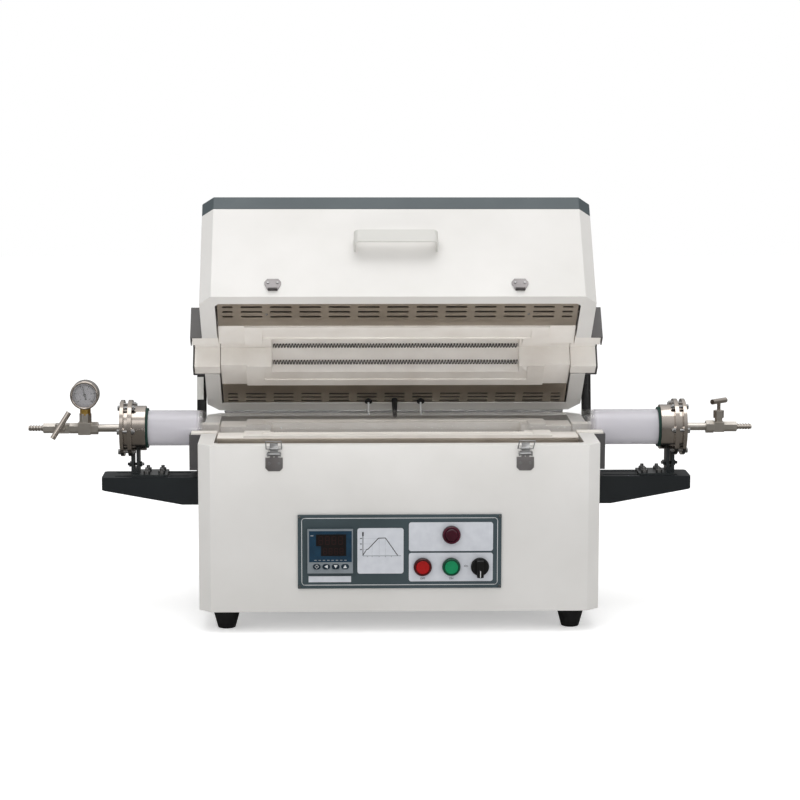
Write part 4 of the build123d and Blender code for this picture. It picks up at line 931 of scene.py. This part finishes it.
def lead_grommets():
    """Grommets with short leads, and a sleeved lead between them, behind the lid's chamber."""
    way = Vector((0, -0.656, -0.755))  # straight down once the lid is closed
    for name, x, radius in (("left", -46, 6.5), ("middle", 0, 5.0), ("right", 46, 6.5)):
        start = mm(x, 327.8, 24.2)
        if name == "middle":
            sleeve = [(0, 5.0), (1, 5.2), (35, 3.6), (36, 3.2)]
            turned("lead_sleeve", sleeve, start, way, RUBBER, "lid", sides=24)
        else:
            ring = [(0, 3), (3.4, 3), (3.4, radius), (6, radius), (7, radius - 1.5), (7, 2.0)]
            turned(f"lead_grommet_{name}", ring, start, way, RUBBER, "lid", sides=24)
            turned(f"lead_{name}", [(0, 1.8), (33, 1.8)], start, way, INK_WHITE, "lid", sides=16)


# ---- stage --------------------------------------------------------------------------------
SKY_LOW = 0.22
SKY_HIGH = 1.0
FLOOR_SIDE = 14
CAMERA_PLACE = (-112.1, -3771.8, 629.15)
CAMERA_PITCH = 0.14677
CAMERA_YAW = 0.02973
CAMERA_ROLL = -0.00199
FOCAL_PIXELS = 2347.3
IMAGE_SIDE = 800
SENSOR = 36.0


def floor():
    """Pale floor that takes the object's shadow. The camera also sees it glow to plain white, and
    metals reflect it darker."""
    bpy.ops.mesh.primitive_plane_add(size=FLOOR_SIDE, location=(0, 0, 0))
    ground = bpy.context.object
    ground.name = "floor"
    material, tree, principled, place = finish_of("pale studio floor", "#F4F4F4", 0.9)
    gloss_range(tree, principled, grain(tree, place, 300), 0.85, 0.95)
    path = add(tree, "ShaderNodeLightPath").outputs
    tree.links.new(path["Is Camera Ray"], principled.inputs["Emission Strength"])
    shade = add(tree, "ShaderNodeValToRGB", {"Fac": path["Is Glossy Ray"]})
    shade.color_ramp.elements[0].color = colour("#F4F4F4")
    shade.color_ramp.elements[1].color = colour("#72706C")
    tree.links.new(shade.outputs["Color"], principled.inputs["Base Color"])
    principled.inputs["Emission Color"].default_value = colour("#A8A8A8")
    ground.data.materials.append(material)


def lamp(name, place, size, power, target):
    """Rectangular lamp that faces the target."""
    data = bpy.data.lights.new(name, "AREA")
    data.shape = "RECTANGLE"
    data.size, data.size_y = size
    data.energy = power
    light = bpy.data.objects.new(name, data)
    light.location = place
    light.rotation_euler = (Vector(target) - Vector(place)).to_track_quat("-Z", "Y").to_euler()
    bpy.context.scene.collection.objects.link(light)
    return light


def studio():
    """White behind everything; for lighting, a sky that is bright above and darker at the horizon."""
    world = bpy.data.worlds.new("studio")
    bpy.context.scene.world = world
    world.use_nodes = True
    tree = world.node_tree
    output = tree.nodes["World Output"]
    sky = tree.nodes["Background"]
    sky.inputs["Color"].default_value = colour("#FFFFFF")
    direction = add(tree, "ShaderNodeTexCoord").outputs["Generated"]
    height = add(tree, "ShaderNodeSeparateXYZ", {0: direction}).outputs["Z"]
    spread = add(tree, "ShaderNodeMapRange", {"Value": height}, To_Min=SKY_LOW, To_Max=SKY_HIGH)
    tree.links.new(spread.outputs["Result"], sky.inputs["Strength"])
    plain = add(tree, "ShaderNodeBackground", Color=colour("#FFFFFF"), Strength=1.0)
    path = add(tree, "ShaderNodeLightPath").outputs
    links = {0: path["Is Camera Ray"], 1: path["Is Transmission Ray"]}
    seen = add(tree, "ShaderNodeMath", links, operation="MAXIMUM")
    links = {0: seen.outputs[0], 1: sky.outputs[0], 2: plain.outputs[0]}
    both = add(tree, "ShaderNodeMixShader", links)
    tree.links.new(both.outputs[0], output.inputs["Surface"])
    lamp("key_light", (-1.6, -2.6, 2.6), (2.2, 1.6), 10, (0, 0, 0.3))
    lamp("fill_light", (2.4, -2.4, 1.6), (1.8, 1.8), 7, (0, 0, 0.35))
    lamp("top_light", (0, -0.4, 3.2), (2.6, 1.8), 27, (0, 0, 0.2))
    low = lamp("low_light", (0, -0.75, 0.36), (0.8, 0.06), 0.2, (0, 0.05, 0.47))
    low.data.spread = radians(58)
    low.visible_camera = False
    bpy.context.scene.view_settings.view_transform = "Standard"


def camera():
    """Camera in front of the furnace, above its middle and a little to the left."""
    level = cos(CAMERA_PITCH)
    forward = Vector((sin(CAMERA_YAW) * level, cos(CAMERA_YAW) * level, -sin(CAMERA_PITCH)))
    right = Vector((cos(CAMERA_YAW), -sin(CAMERA_YAW), 0))
    up = right.cross(forward)
    image_x = right * cos(CAMERA_ROLL) - up * sin(CAMERA_ROLL)
    image_y = right * sin(CAMERA_ROLL) + up * cos(CAMERA_ROLL)
    data = bpy.data.cameras.new("camera")
    data.sensor_width = SENSOR
    data.lens = FOCAL_PIXELS / IMAGE_SIDE * SENSOR
    eye = bpy.data.objects.new("camera", data)
    turn = Matrix((image_x, image_y, -forward)).transposed().to_4x4()
    eye.matrix_world = Matrix.Translation(mm(*CAMERA_PLACE)) @ turn
    bpy.context.scene.collection.objects.link(eye)
    bpy.context.scene.camera = eye


# ---- build --------------------------------------------------------------------------------
for node_name, (finish, rounding_mm) in NODE_FINISH.items():
    dressed(node_name, finish, rounding_mm)
heating_spirals()
controller_face()
panel_prints()
small_screws()
slot_shade_boards()
bright_rivets()
hose_barbs()
gauge_face()
button_rings()
bright_bolts()
strut_label()
lead_grommets()
floor()
studio()
camera()
